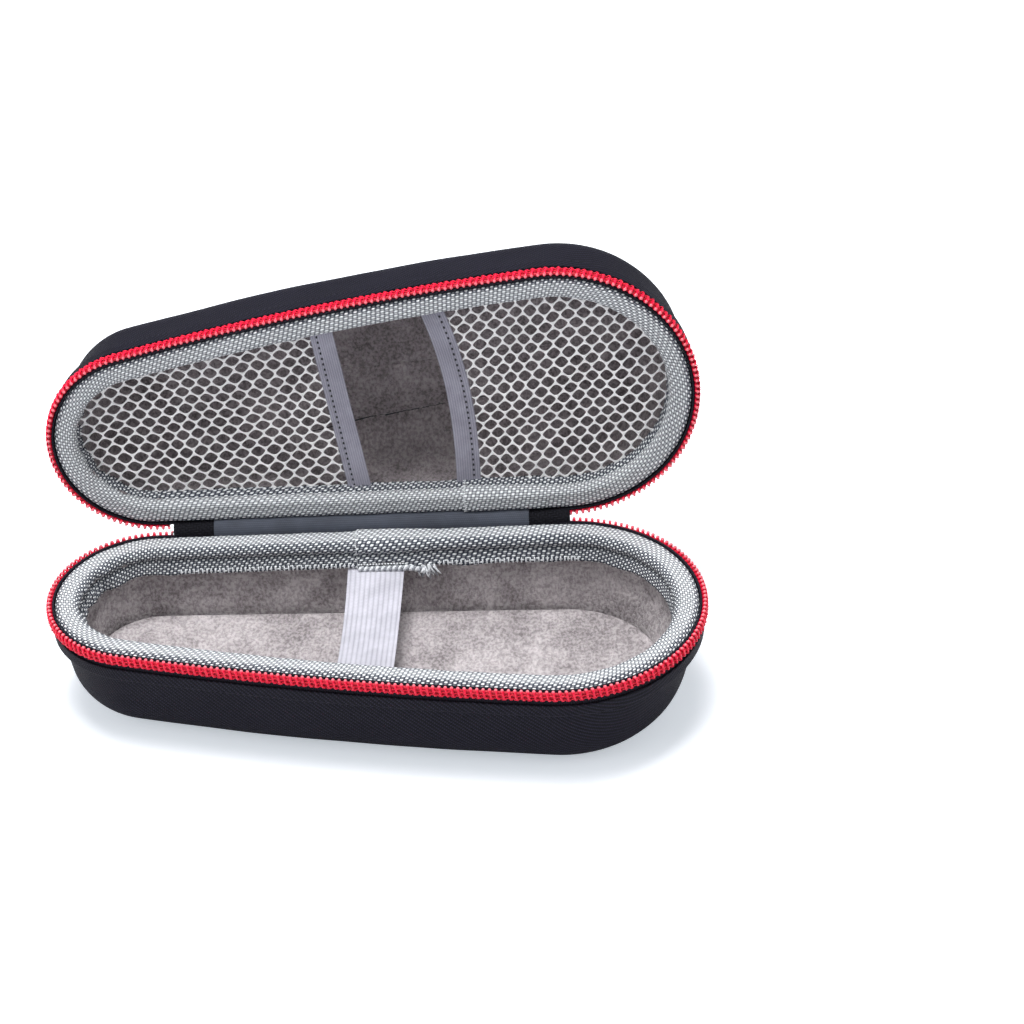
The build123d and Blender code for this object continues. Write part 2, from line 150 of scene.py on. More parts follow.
def mesh_piece(name, points, faces, material, ride=None):
    """Smooth mesh from points in metres, in one finish, that moves with a body."""
    mesh = bpy.data.meshes.new(name)
    mesh.from_pydata(np.reshape(points, (-1, 3)).tolist(), [], np.asarray(faces).tolist())
    mesh.polygons.foreach_set("use_smooth", np.ones(len(faces), bool))
    mesh.materials.append(material)
    piece = bpy.data.objects.new(name, mesh)
    bpy.context.collection.objects.link(piece)
    if ride is not None:
        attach(piece, ride)
    return piece


lens = bpy.data.cameras.new("long_lens")
lens.lens = CAMERA_LENS
lens.sensor_width = 36.0
lens.clip_start = 0.05
lens.clip_end = 20.0
level_sight = np.array([math.sin(CAMERA_AZIMUTH), -math.cos(CAMERA_AZIMUTH), 0.0])
sight = level_sight * math.cos(CAMERA_ELEVATION) + np.array([0.0, 0.0, math.sin(CAMERA_ELEVATION)])
camera_place = CAMERA_TARGET + CAMERA_DISTANCE * sight
bpy.context.scene.camera = aimed(lens, camera_place, CAMERA_TARGET, CAMERA_ROLL)

for lamp_name, lamp_place, side, watts in SOFT_BOXES:
    lamp = bpy.data.lights.new(lamp_name, "AREA")
    lamp.shape = "SQUARE"
    lamp.size = side * MM
    lamp.energy = watts
    aimed(lamp, np.array(lamp_place), LAMP_TARGET)

bpy.context.scene.view_settings.view_transform = "Standard"
world = bpy.data.worlds.new("studio_air")
bpy.context.scene.world = world
world.use_nodes = True
air = world.node_tree
air_seen = node(air, "LightPath").outputs["Is Camera Ray"]
air_strength = node(air, "MapRange", Value=air_seen, To_Min=AIR_LIGHT, To_Max=1.0).outputs["Result"]
fill(air.nodes["Background"], Color=(0.97, 0.98, 1.0, 1.0), Strength=air_strength)

table_paint, table_tree, table_shader = finish_of(
    "white_table",
    Base_Color=(0.86, 0.87, 0.90, 1.0),
    Roughness=0.9,
    Emission_Color=(0.86, 0.93, 1.0, 1.0),
)
table_seen = node(table_tree, "LightPath").outputs["Is Camera Ray"]
fill(table_shader, Emission_Strength=calc("MULTIPLY", table_seen, TABLE_SHOWN))
table_corners = TABLE_REACH * np.array([(-1, -1, 0), (1, -1, 0), (1, 1, 0), (-1, 1, 0)])
table = mesh_piece("table_top", table_corners, [(0, 1, 2, 3)], table_paint)

# ---------------------------------------------------------------------------
# Foam shells. Each half is pressed from closed-cell foam sheet, which its covers
# hide. The lid's solid stays with a foam finish; the base's is drawn further on.


def bump_on(shader, height, strength, distance):
    """Height to the shader's Normal through a Bump node; distance is in mm."""
    bump = node(shader.id_data, "Bump", Strength=strength, Distance=distance * MM, Height=height)
    fill(shader, Normal=bump.outputs[0])


def refinish(solid, material):
    """Gives a solid of the frame one finish."""
    solid.data.materials.clear()
    solid.data.materials.append(material)


foam, foam_tree, foam_shader = finish_of("closed_cell_foam", Roughness=0.9)
foam_place = node(foam_tree, "TexCoord").outputs["Object"]
foam_cells = node(foam_tree, "TexVoronoi", Vector=foam_place, Scale=2500.0).outputs["Distance"]
foam_tint = node(foam_tree, "ValToRGB", Fac=foam_cells)
foam_tint.color_ramp.elements[0].color = (0.02, 0.02, 0.022, 1)
foam_tint.color_ramp.elements[1].color = (0.06, 0.06, 0.065, 1)
fill(foam_shader, Base_Color=foam_tint.outputs[0])
bump_on(foam_shader, foam_cells, 0.5, 0.2)
refinish(frame["nodes"]["lid_foam_shell"], foam)

# ---------------------------------------------------------------------------
# Outer covers. Black polyester twill laminated to the foam and drawn over the
# same mould, so it has no seam on the walls and turns in under the zip tape.
tape_low, tape_high = (np.array(corner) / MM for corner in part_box("base_zip_tape"))
hinge_joint = next(joint for joint in frame["joints"] if joint["name"] == "lid_hinge")
BACK_Y = float(tape_high[1])
R_RIGHT = float(tape_high[1] - tape_low[1]) / 2
LENGTH = float(tape_high[0] - tape_low[0])
R_LEFT = 30.0
R_FRONT = 850.0
HINGE_Y = hinge_joint["pos_m"][1] / MM
BASE_DEPTH = hinge_joint["pos_m"][2] / MM
LID_DEPTH = 34.5
LID_OPEN = math.radians(-hinge_joint["range_deg"][0])
RIGHT_LEAN = 4.3
LEFT_LEAN = 1.6
LEAN_FROM_X = 30.0
LEAN_OVER_X = 68.0
LEAN_FROM_DEPTH = 9.0
LEAN_OVER_DEPTH = 26.0
SHELL_N = -1.4
WALL_STEP = 0.6
WALL_DRAFT = {"base": 2.4, "lid": 1.7}
FLOOR_BEND = {"base": 15.5, "lid": 12.5}
TAPE_DEEP = 10.0
COVER_THICK = 0.5
COVER_EDGE = 5.4
CORE_THICK = 1.2
CORE_IN = 0.65
TUCK_MIDDLE = 3.9
TUCK_HALF = 62.5
TUCK_EASE = 2.5

C_LEFT = np.array([R_LEFT - LENGTH / 2, BACK_Y - R_LEFT])
C_RIGHT = np.array([LENGTH / 2 - R_RIGHT, BACK_Y - R_RIGHT])
between = C_RIGHT - C_LEFT
apart = np.linalg.norm(between)
along = ((R_FRONT - R_LEFT) ** 2 - (R_FRONT - R_RIGHT) ** 2 + apart**2) / (2 * apart)
across = math.sqrt((R_FRONT - R_LEFT) ** 2 - along**2)
C_FRONT = C_LEFT + (between * along + np.array([-between[1], between[0]]) * across) / apart
A_LEFT = math.atan2(*(C_LEFT - C_FRONT)[::-1])
A_RIGHT = math.atan2(*(C_RIGHT - C_FRONT)[::-1])
ARC_CENTRES = np.array([C_LEFT, C_FRONT, C_RIGHT])
ARC_RADII = np.array([R_LEFT, R_FRONT, R_RIGHT])
ARC_FIRST = np.array([math.pi / 2, A_LEFT, A_RIGHT])
ARC_TURN = np.array([A_LEFT + math.pi * 1.5, A_RIGHT - A_LEFT, math.pi / 2 - A_RIGHT])
S_BREAKS = np.cumsum([0.0, -C_LEFT[0], *(ARC_RADII * ARC_TURN), C_RIGHT[0]])
RIM_LONG = float(S_BREAKS[-1])


def rim(s, n):
    """Plan point at s, n. The line is straight, three arcs, straight; a point moves out
    along the line's normal by n, so on an arc of radius r it lies at r + n."""
    s = np.mod(np.asarray(s, float), RIM_LONG)
    leg = np.clip(np.searchsorted(S_BREAKS, s, side="right") - 1, 0, 4)
    arc = np.clip(leg - 1, 0, 2)
    angle = ARC_FIRST[arc] + (s - S_BREAKS[arc + 1]) / ARC_RADII[arc]
    normal = np.stack([np.cos(angle), np.sin(angle)], -1)
    plan = ARC_CENTRES[arc] + normal * ARC_RADII[arc][..., None]
    for straight, x in ((0, -s), (4, RIM_LONG - s)):
        on_it = (leg == straight)[..., None]
        plan = np.where(on_it, np.stack([x, BACK_Y + 0 * s], -1), plan)
        normal = np.where(on_it, [0.0, 1.0], normal)
    return plan + normal * np.asarray(n, float)[..., None]


def from_back(s):
    """Way along the rim from the middle of the back, less than nothing past it."""
    return np.mod(s + RIM_LONG / 2, RIM_LONG) - RIM_LONG / 2


def stand(plan, d, half):
    """Puts plan points at depth d into a half: the base hangs under the parting plane
    and its ends lean in, the right one most; the lid stands over it and is turned open
    about the hinge by its angle."""
    x, y = plan[..., 0], plan[..., 1]
    if half == "base":
        down = np.clip((d - LEAN_FROM_DEPTH) / LEAN_OVER_DEPTH, 0, 1)
        right, left = (np.clip((way * x - LEAN_FROM_X) / LEAN_OVER_X, 0, 1) for way in (1, -1))
        x = x - RIGHT_LEAN * down * right**2 + LEFT_LEAN * down**2 * left**2
        return np.stack([x, y, BASE_DEPTH - d + 0 * x], -1) * MM
    c, k = math.cos(LID_OPEN), math.sin(LID_OPEN)
    v = y - HINGE_Y
    return np.stack([x, HINGE_Y + v * c + d * k, BASE_DEPTH - v * k + d * c], -1) * MM


def sheet_mesh(name, points, u, v, material, ride=None, closed=False, flip=False):
    """Quads over a grid of points (rows along u, columns along v), with a UV map in mm.
    A closed grid joins its last row to its first; u then has one more value."""
    rows, columns = points.shape[:2]
    count = rows if closed else rows - 1
    i, j = np.divmod(np.arange(count * (columns - 1)), columns - 1)
    after = (i + 1) % rows
    quads = np.stack([i * columns + j, after * columns + j, after * columns + j + 1, i * columns + j + 1], -1)
    u = np.broadcast_to(np.asarray(u, float)[:, None] if np.ndim(u) == 1 else u, (count + 1, columns))
    v = np.broadcast_to(np.asarray(v, float), (count + 1, columns))
    corner_i = np.stack([i, i + 1, i + 1, i], -1)
    corner_j = np.stack([j, j, j + 1, j + 1], -1)
    if flip:
        quads, corner_i, corner_j = quads[:, ::-1], corner_i[:, ::-1], corner_j[:, ::-1]
    piece = mesh_piece(name, points, quads, material, ride)
    uv = np.stack([u[corner_i, corner_j], v[corner_i, corner_j]], -1)
    piece.data.uv_layers.new(name="cloth").data.foreach_set("uv", uv.astype(np.float32).ravel())
    return piece


def solid_sheet(piece, thick, outward=-1.0):
    """Gives a sheet its thickness in mm, towards its back."""
    wall = piece.modifiers.new("thickness", "SOLIDIFY")
    wall.thickness = thick * MM
    wall.offset = outward
    return piece


def waves(a, b, seed, scale, octaves=3):
    """Smooth uneven height from -1 to 1 over two coordinates in mm: a few sines whose
    directions and phases come from a seeded generator, each octave half as high."""
    rng = np.random.default_rng(seed)
    total, weight = 0.0, 0.0
    for octave in range(octaves):
        for _ in range(4):
            turn, phase = rng.uniform(0, math.tau, 2)
            wave = math.tau * 2**octave / scale * rng.uniform(0.7, 1.3)
            total = total + 0.5**octave * np.sin(wave * (a * math.cos(turn) + b * math.sin(turn)) + phase)
        weight += 4 * 0.5**octave
    return total / weight * 2.0


def smooth_profile(corners, step):
    """Points along a profile (n, d) whose corners are rounded by quarter bends.
    A corner is (n, d, radius); each bend is the arc that both its sides touch."""
    corners = [np.array([*c, 0.0][:3]) for c in corners]
    line = [corners[0][:2]]
    for before, here, after in zip(corners, corners[1:], corners[2:]):
        if here[2] <= 0:
            line.append(here[:2])
            continue
        u, w = unit(before[:2] - here[:2]), unit(after[:2] - here[:2])
        half_angle = math.acos(np.clip(u @ w, -1, 1)) / 2
        reach = here[2] / math.tan(half_angle)
        centre = here[:2] + unit(u + w) * here[2] / math.sin(half_angle)
        a, b = here[:2] + u * reach - centre, here[:2] + w * reach - centre
        sweep = math.acos(np.clip(a @ b / here[2] ** 2, -1, 1))
        t = np.linspace(0, 1, max(4, int(sweep * here[2] / step)))[:, None]
        line.extend(centre + (a * np.sin((1 - t) * sweep) + b * np.sin(t * sweep)) / math.sin(sweep))
    line = np.array([*line, corners[-1][:2]])
    length = np.concatenate([[0], np.cumsum(np.linalg.norm(np.diff(line, axis=0), axis=1))])
    even = np.linspace(0, length[-1], max(2, int(length[-1] / step)))
    merged = np.unique(np.concatenate([length, even]).round(4))
    return np.stack([np.interp(merged, length, line[:, k]) for k in (0, 1)], -1), merged


def spine_of(edge):
    """Where an edge point is drawn in to: the nearest of sixty even steps on the line
    between the two end circles' centres."""
    share = np.clip((edge[:, :1] - C_LEFT[0]) / (C_RIGHT[0] - C_LEFT[0]), 0, 1)
    return C_LEFT + (C_RIGHT - C_LEFT) * np.round(share * 60) / 60


def weld(piece, near=1e-6, sliver=1e-7, outward=False):
    """Joins points that lie on each other, as where a closed shape ends in a pole, and
    can turn the faces of closed shapes outwards."""
    shape = bmesh.new()
    shape.from_mesh(piece.data)
    bmesh.ops.remove_doubles(shape, verts=shape.verts, dist=near)
    bmesh.ops.dissolve_degenerate(shape, edges=shape.edges, dist=sliver)
    if outward:
        bmesh.ops.recalc_face_normals(shape, faces=shape.faces)
    shape.to_mesh(piece.data)
    shape.free()
    return piece


def group_of(name, inputs, outputs):
    """Empty shader node group with a Cloth vector input and the float inputs, and float
    outputs."""
    group = bpy.data.node_groups.new(name, "ShaderNodeTree")
    group.interface.new_socket("Cloth", in_out="INPUT", socket_type="NodeSocketVector")
    for title in inputs:
        group.interface.new_socket(title, in_out="INPUT", socket_type="NodeSocketFloat")
    for title in outputs:
        group.interface.new_socket(title, in_out="OUTPUT", socket_type="NodeSocketFloat")
    return group, group.nodes.new("NodeGroupInput").outputs, group.nodes.new("NodeGroupOutput")


def mixed(factor, first, second):
    """Mix of two colours by a factor socket; gives its colour socket."""
    made = node(factor.id_data, "Mix", data_type="RGBA")
    for index, value in ((0, factor), (6, first), (7, second)):
        put(made.inputs[index], (*value, 1.0) if isinstance(value, tuple) else value)
    return made.outputs[2]


def crown(width, lengthwise):
    """Round section across a thread times a low bow along its float."""
    round_part = calc("SINE", calc("MULTIPLY", width, math.pi))
    bow = calc("SINE", calc("MULTIPLY", lengthwise, math.pi))
    return calc("MULTIPLY", calc("POWER", round_part, 0.6), calc("MULTIPLY_ADD", bow, 0.55, 0.45))


# Threads that cross over and under each other. Height is 1 on a thread's crown and 0 in
# the gaps, Warp is 1 where the thread along the second direction lies on top.
woven, woven_in, woven_out = group_of("woven_threads", ("Pitch", "Float"), ("Height", "Warp"))
scaled = node(woven, "VectorMath", operation="DIVIDE")
put(scaled.inputs[0], woven_in["Cloth"])
put(scaled.inputs[1], woven_in["Pitch"])
woven_u, woven_v, _ = node(woven, "SeparateXYZ", Vector=scaled.outputs[0]).outputs
over = woven_in["Float"]
crossing = calc("ADD", calc("FLOOR", woven_u), calc("FLOOR", woven_v))
step = calc("FLOORED_MODULO", crossing, calc("MULTIPLY", over, 2.0))
on_top = calc("LESS_THAN", step, over)
part_u, part_v = calc("FRACT", woven_u), calc("FRACT", woven_v)
warp = crown(part_u, calc("DIVIDE", calc("ADD", step, part_v), over))
weft = crown(part_v, calc("DIVIDE", calc("ADD", calc("SUBTRACT", step, over), part_u), over))
top = calc("MULTIPLY", warp, on_top)
below = calc("MULTIPLY", weft, calc("SUBTRACT", 1.0, on_top))
fill(woven_out, Height=calc("ADD", top, below), Warp=on_top)


def cloth_finish(
    name,
    tones,
    pitch,
    floats,
    weft,
    relief,
    rough=0.8,
    worn=0.25,
    under=1.0,
    gloss=0.12,
    crisp=1.0,
    shading=None,
):
    """Woven cloth on the piece's own UV map: colour runs from the gaps' to the crowns',
    unevenly over some centimetres, and the threads stand out as relief in mm. Pitch is
    the threads' along u, weft along v, under how bright the crossing threads are, crisp
    how much the step from gap to crown is steepened, and shading may change the shade."""
    material, tree, shader = finish_of(name, Roughness=rough, Specular_IOR_Level=gloss)
    cloth = node(tree, "UVMap", uv_map="cloth").outputs[0]
    place = node(tree, "TexCoord").outputs["Object"]
    turned = node(tree, "Mapping", Vector=cloth, Scale=(1.0, pitch / weft, 1.0)).outputs[0]
    threads = node(tree, "Group", node_tree=woven, Cloth=turned, Pitch=pitch, Float=floats).outputs
    blotch = node(tree, "TexNoise", Vector=place, Scale=45.0, Detail=6.0).outputs["Fac"]
    uneven = calc("MULTIPLY_ADD", blotch, worn, 1.0 - worn / 2)
    which = calc("MULTIPLY_ADD", threads["Warp"], 1.0 - under, under)
    shade = calc("MULTIPLY", calc("MULTIPLY", threads["Height"], which), uneven)
    shade = calc("MULTIPLY_ADD", shade, crisp, 0.75 * (1.0 - crisp))
    if shading is not None:
        shade = shading(shade, cloth, place)
    fill(shader, Base_Color=mixed(shade, *tones))
    bump_on(shader, threads["Height"], 0.9, relief)
    return material


def gathered_shell(name, corners, half, stations, step, material, ripple=None, flip=False):
    """A bowl: the profile carried round the rim, then its last edge drawn in to the
    spine between the end circles. UV is the flat cloth before it was drawn over the
    mould: the plan, with the walls unrolled outwards."""
    line, length = smooth_profile(corners, step)
    s = np.linspace(0, RIM_LONG, stations, endpoint=False)
    n, d = (np.broadcast_to(part, (stations, len(line))) for part in line.T)
    if ripple is not None:
        n, d = ripple(s[:, None], length[None, :], n, d)
    last = line[-1, 0]
    shares = np.linspace(0, 1, 14)[1:, None]
    edge = rim(s, 0 * s + last)
    floor = edge[:, None] * (1 - shares) + spine_of(edge)[:, None] * shares
    wall_s = s[:, None] + 0 * n
    plan = np.concatenate([rim(wall_s, n), floor], 1)
    depth = np.concatenate([d, np.repeat(d[:, -1:], len(shares), 1)], 1)
    flat = np.concatenate([rim(wall_s, last + length[-1] - length + 0 * n), floor], 1)
    flat = np.concatenate([flat, flat[:1]], 0)
    points = stand(plan, depth, half)
    return weld(sheet_mesh(name, points, flat[..., 0], flat[..., 1], material, half, True, flip))


def cover_ripple(s, length, n, d):
    """The cloth lies a little unevenly: hardly at its top edge, most on the wall. Behind
    the hinge its edge goes in under the webbing instead of over the tape."""
    bow = 0.22 * waves(s, length, 11, 60.0) * np.clip((length - 3.0) / 12.0, 0, 1)
    past = np.abs(from_back(s) - TUCK_MIDDLE)
    under = np.clip((TUCK_HALF - past) / TUCK_EASE, 0, 1)
    under = under * under * (3 - 2 * under)
    edge = 0.10 * waves(s, 0 * length, 12, 9.0, 2) * np.clip(1 - length / 2.0, 0, 1)
    return n + (np.minimum(n, SHELL_N) - n) * under + bow, d + edge


twill_tones = ((0.0008, 0.0008, 0.0020), (0.024, 0.023, 0.042))
twill = cloth_finish("black_twill", twill_tones, 0.61, 2, -0.364, 0.20, 0.6, worn=0.6, under=0.25)

for half, deep in (("base", BASE_DEPTH), ("lid", LID_DEPTH)):
    low, bend = SHELL_N - WALL_STEP, FLOOR_BEND[half]
    foot = low - WALL_DRAFT[half]
    cover_corners = [
        (0.12, COVER_EDGE + 0.5),
        (0.30, COVER_EDGE, 0.2),
        (0.62, COVER_EDGE + 0.3, 0.25),
        (0.55, TAPE_DEEP - 0.6, 0.7),
        (low, TAPE_DEEP + 1.3, 0.9),
        (foot, deep, bend),
        (foot - bend - 0.1, deep),
    ]
    cover_name = half + "_twill_cover"
    cover = gathered_shell(cover_name, cover_corners, half, 420, 0.9, twill, cover_ripple, half == "base")
    solid_sheet(cover, COVER_THICK)
    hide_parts(half + "_outer_cover")

core_foot = SHELL_N - WALL_STEP - WALL_DRAFT["base"]
core_corners = [
    (-3.0, 1.4),
    (-2.5, TAPE_DEEP, 1.0),
    (-2.95, TAPE_DEEP + 1.5, 1.0),
    (core_foot - 0.6, BASE_DEPTH - CORE_IN, FLOOR_BEND["base"] - CORE_IN),
    (core_foot - FLOOR_BEND["base"] - 0.1, BASE_DEPTH - CORE_IN),
]
core = gathered_shell("base_foam_core", core_corners, "base", 220, 1.5, foam, flip=True)
solid_sheet(core, CORE_THICK)
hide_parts("base_foam_shell")

# ---------------------------------------------------------------------------
# Linings. Short brushed grey-brown fleece bonded inside the foam; the pile lies
# every way, so it looks blotched, and the mould leaves it softly uneven.
FOAM_THICK = 2.5
LINING_THICK = 0.85
LINING_TOP = 1.7
LINING_N = -7.1
FLOOR_N = -9.5
CREASE_N = -17.44
CREASE_RUN = 0.173


def noise(place, scale, detail, rough=0.5, stretch=(1.0, 1.0, 1.0)):
    """Noise from 0 to 1 over Object coordinates; scale is features to the metre."""
    drawn = node(place.id_data, "Mapping", Vector=place, Scale=stretch).outputs[0]
    made = node(place.id_data, "TexNoise", Vector=drawn, Scale=scale, Detail=detail, Roughness=rough)
    return made.outputs["Fac"]


def contrast(value, low, high):
    """Spreads the part of a value between low and high over 0 to 1."""
    made = node(value.id_data, "MapRange", interpolation_type="SMOOTHSTEP", Value=value)
    return fill(made, From_Min=low, From_Max=high).outputs["Result"]


def fleece_finish(name, dark, light):
    """Brushed fleece: patches of nap some millimetres wide, strokes of the brush, curls
    and single hairs, each finer than the last, make its tone and its height."""
    material, tree, shader = finish_of(
        name, Roughness=0.95, Specular_IOR_Level=0.15, Sheen_Weight=0.25, Sheen_Roughness=0.5
    )
    place = node(tree, "TexCoord").outputs["Object"]
    patches = contrast(noise(place, 70.0, 5.0, 0.6), 0.36, 0.64)
    strokes = contrast(noise(place, 330.0, 3.0, 0.6, (1.0, 0.6, 1.0)), 0.32, 0.68)
    curls = contrast(noise(place, 1150.0, 2.0, 0.6, (1.0, 0.7, 0.8)), 0.34, 0.66)
    pile = noise(place, 3000.0, 2.0, 0.7)
    nap = calc("MULTIPLY_ADD", patches, 0.30, calc("MULTIPLY", strokes, 0.18))
    nap = calc("MULTIPLY_ADD", curls, 0.40, nap)
    nap = calc("MULTIPLY_ADD", pile, 0.18, nap)
    fill(shader, Base_Color=mixed(nap, dark, light))
    bump_on(shader, calc("MULTIPLY_ADD", curls, 0.6, calc("MULTIPLY", pile, 0.4)), 0.9, 0.40)
    return material


def lining_ripple(s, length, n, d):
    """The fleece bridges small hollows in the foam, deepest half way down the wall, and
    the press has nipped it into a crease where the back wall's bend meets a deep floor."""
    bow = 0.25 * waves(s, 2.0 * length, 23, 42.0) * np.clip(length / 10.0, 0, 1)
    along_back = from_back(s)
    back = np.clip((44.0 - np.abs(along_back)) / 12.0, 0, 1)
    from_crease = n - CREASE_N - CREASE_RUN * along_back - 0.4 * waves(s, 0 * length, 25, 50.0)
    nip = np.exp(-((from_crease / 0.55) ** 2)) - 0.35 * np.exp(-(((from_crease - 1.6) / 1.1) ** 2))
    nip = 1.15 * back * nip * (d > 26.0)
    return n + bow, d + nip + 0.12 * waves(s, length, 24, 30.0) * (length > 30.0)


fleece = fleece_finish("brushed_fleece", (0.115, 0.098, 0.103), (0.590, 0.545, 0.558))
# painted shade: the lid's lining takes a darker copy of the same fleece, which stands in for the shade in the
# upright lid's hollow
lid_fleece_painted_shade = fleece_finish("brushed_fleece_painted_shade", (0.080, 0.066, 0.071), (0.450, 0.402, 0.418))

for half, deep, bend, step, finish in (
    ("base", BASE_DEPTH, 4.0, 0.9, fleece),
    ("lid", LID_DEPTH, 12.0, 0.5, lid_fleece_painted_shade),
):
    floor_deep = deep - COVER_THICK - FOAM_THICK - LINING_THICK - 0.1
    lining_corners = [
        (LINING_N, LINING_TOP),
        (LINING_N, 13.5, 1.0),
        (FLOOR_N, floor_deep, bend),
        (FLOOR_N - bend - 2.0, floor_deep),
    ]
    lining = gathered_shell(
        half + "_fleece_lining", lining_corners, half, 300, step, finish, lining_ripple, half == "lid"
    )
    solid_sheet(lining, LINING_THICK)
    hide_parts(half + "_lining")

# ---------------------------------------------------------------------------
# Floor pad. A slab of dense rubber foam in a skin of the same fleece, laid loose
# on the base's floor; its top is a little crowned and its sides draw in.
PAD_TOP = 25.0
PAD_FOOT = 31.0
PAD_EDGE = -9.65
PAD_IN = PAD_EDGE - 3.5
PAD_CROWN = 0.45
PAD_TILT = 0.024

s = np.linspace(0, RIM_LONG, 320, endpoint=False)
side, _ = smooth_profile(
    [
        (PAD_IN, PAD_FOOT),
        (PAD_EDGE - 0.1, PAD_FOOT, 2.4),
        (PAD_EDGE - 0.35, 28.4, 1.5),
        (PAD_EDGE + 0.1, PAD_TOP + 0.1, 1.3),
        (PAD_IN, PAD_TOP + 0.05),
    ],
    0.35,
)
ring = rim(s[:, None] + 0 * side[:, 0], side[:, 0] + 0 * s[:, None])
inner = rim(s, 0 * s + PAD_IN)
shares = np.linspace(0, 1, 19)[1:]
top_fill = inner[:, None] * (1 - shares[:, None]) + spine_of(inner)[:, None] * shares[:, None]
plan = np.concatenate([top_fill[:, ::-1], ring, top_fill], 1)
low = np.full((len(s), len(shares)), PAD_FOOT)
uneven = 0.10 * waves(top_fill[..., 0], top_fill[..., 1], 5, 34.0) * (1 - (1 - shares) ** 4)
high = PAD_TOP + 0.05 - PAD_CROWN * (1 - (1 - shares) ** 2) + uneven
depth = np.concatenate([low, side[:, 1] + 0 * s[:, None], high], 1)
depth = depth + PAD_TILT * plan[..., 0] * np.clip((PAD_FOOT - depth) / (PAD_FOOT - PAD_TOP), 0, 1)
skin = np.concatenate([plan, plan[:1]], 0)
pad_at = stand(plan, depth, "base")
pad = weld(sheet_mesh("fleece_floor_pad", pad_at, skin[..., 0], skin[..., 1], fleece, "base", True))
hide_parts("base_floor_pad")

# ---------------------------------------------------------------------------
# Mesh pockets. Knitted white polyester net held flat across the lid's mouth: six
# sided cells whose strands run together for a moment where they cross.
NET_DEEP = 6.85
NET_OUT = -7.45
NET_STRAND = 0.38
NET_JOIN = 1.25
NET_THICK = 0.38
NET_PULL = 0.86
NET_CROWD = 0.34
NET_UNDER = 1.6
NET_BILLOW = 0.9
NET_RISE = 0.5
CELLS = {
    "left": (np.array([2.64, 2.79]), np.array([-2.20, 3.23])),
    "right": (np.array([2.18, 2.99]), np.array([-2.30, 3.45])),
}
SIDE_SIGN = {"left": -1.0, "right": 1.0}
POCKET_BACK = BACK_Y - 4.0
POCKET_FRONT = BACK_Y - 2 * R_RIGHT + 4.0


def free_edge(side, t):
    """X of a pocket's free edge from the back, t 0, to the front, t 1: straight and
    aslant on the left, bowed by the power 2.6 of t on the right."""
    return -1.9 - 9.9 * t if side == "left" else 24.0 + 2.0 * t - 13.0 * np.abs(t) ** 2.6


def seam_edge(side, t):
    """X of the line where net and elastic are sewn together."""
    return free_edge(side, t) + (-7.2 if side == "left" else 7.4)


def pocket_t(y):
    """Share of the way from the pocket's back to its front at y."""
    return (POCKET_BACK - y) / (POCKET_BACK - POCKET_FRONT)


def kept_inside(plan, most):
    """Points beyond the rim's offset line, n = most, are moved on to it. n is the largest
    of the distances past the back and past each arc whose sector holds the point."""
    offset = plan[..., None, :] - ARC_CENTRES
    far = np.linalg.norm(offset, axis=-1)
    turn = np.mod(np.arctan2(offset[..., 1], offset[..., 0]) - ARC_FIRST, math.tau)
    past = np.where(turn <= ARC_TURN, far - ARC_RADII, -1e3)
    past = np.concatenate([past, (plan[..., 1] - BACK_Y)[..., None]], -1)
    n = past.max(-1)
    backward = np.broadcast_to([0.0, 1.0], plan.shape)[..., None, :]
    outward = np.concatenate([offset / far[..., None], backward], -2)
    outward = np.take_along_axis(outward, past.argmax(-1)[..., None, None], -2)[..., 0, :]
    return plan - outward * np.maximum(n - most, 0)[..., None], n


def ring_faces(count, rings, sides):
    """Quads of many like shapes, each of rings that close on themselves, numbered ring
    by ring and shape by shape."""
    i, j = np.divmod(np.arange((rings - 1) * sides), sides)
    after = (j + 1) % sides
    quads = np.stack([i * sides + j, i * sides + after, (i + 1) * sides + after, (i + 1) * sides + j], 1)
    return (quads + rings * sides * np.arange(count)[:, None, None]).reshape(-1, 4)


net, net_tree, net_shader = finish_of("white_net_yarn", Roughness=0.65, Sheen_Weight=0.2)
net_place = node(net_tree, "TexCoord").outputs["Object"]
net_grain = noise(net_place, 5200.0, 3.0, 0.7)
net_soil = contrast(noise(net_place, 160.0, 3.0), 0.35, 0.7)
net_tone = calc("MULTIPLY_ADD", net_grain, 0.55, calc("MULTIPLY", net_soil, 0.45))
fill(net_shader, Base_Color=mixed(net_tone, (0.84, 0.83, 0.84), (1.0, 1.0, 1.0)))
bump_on(net_shader, net_grain, 0.6, 0.10)

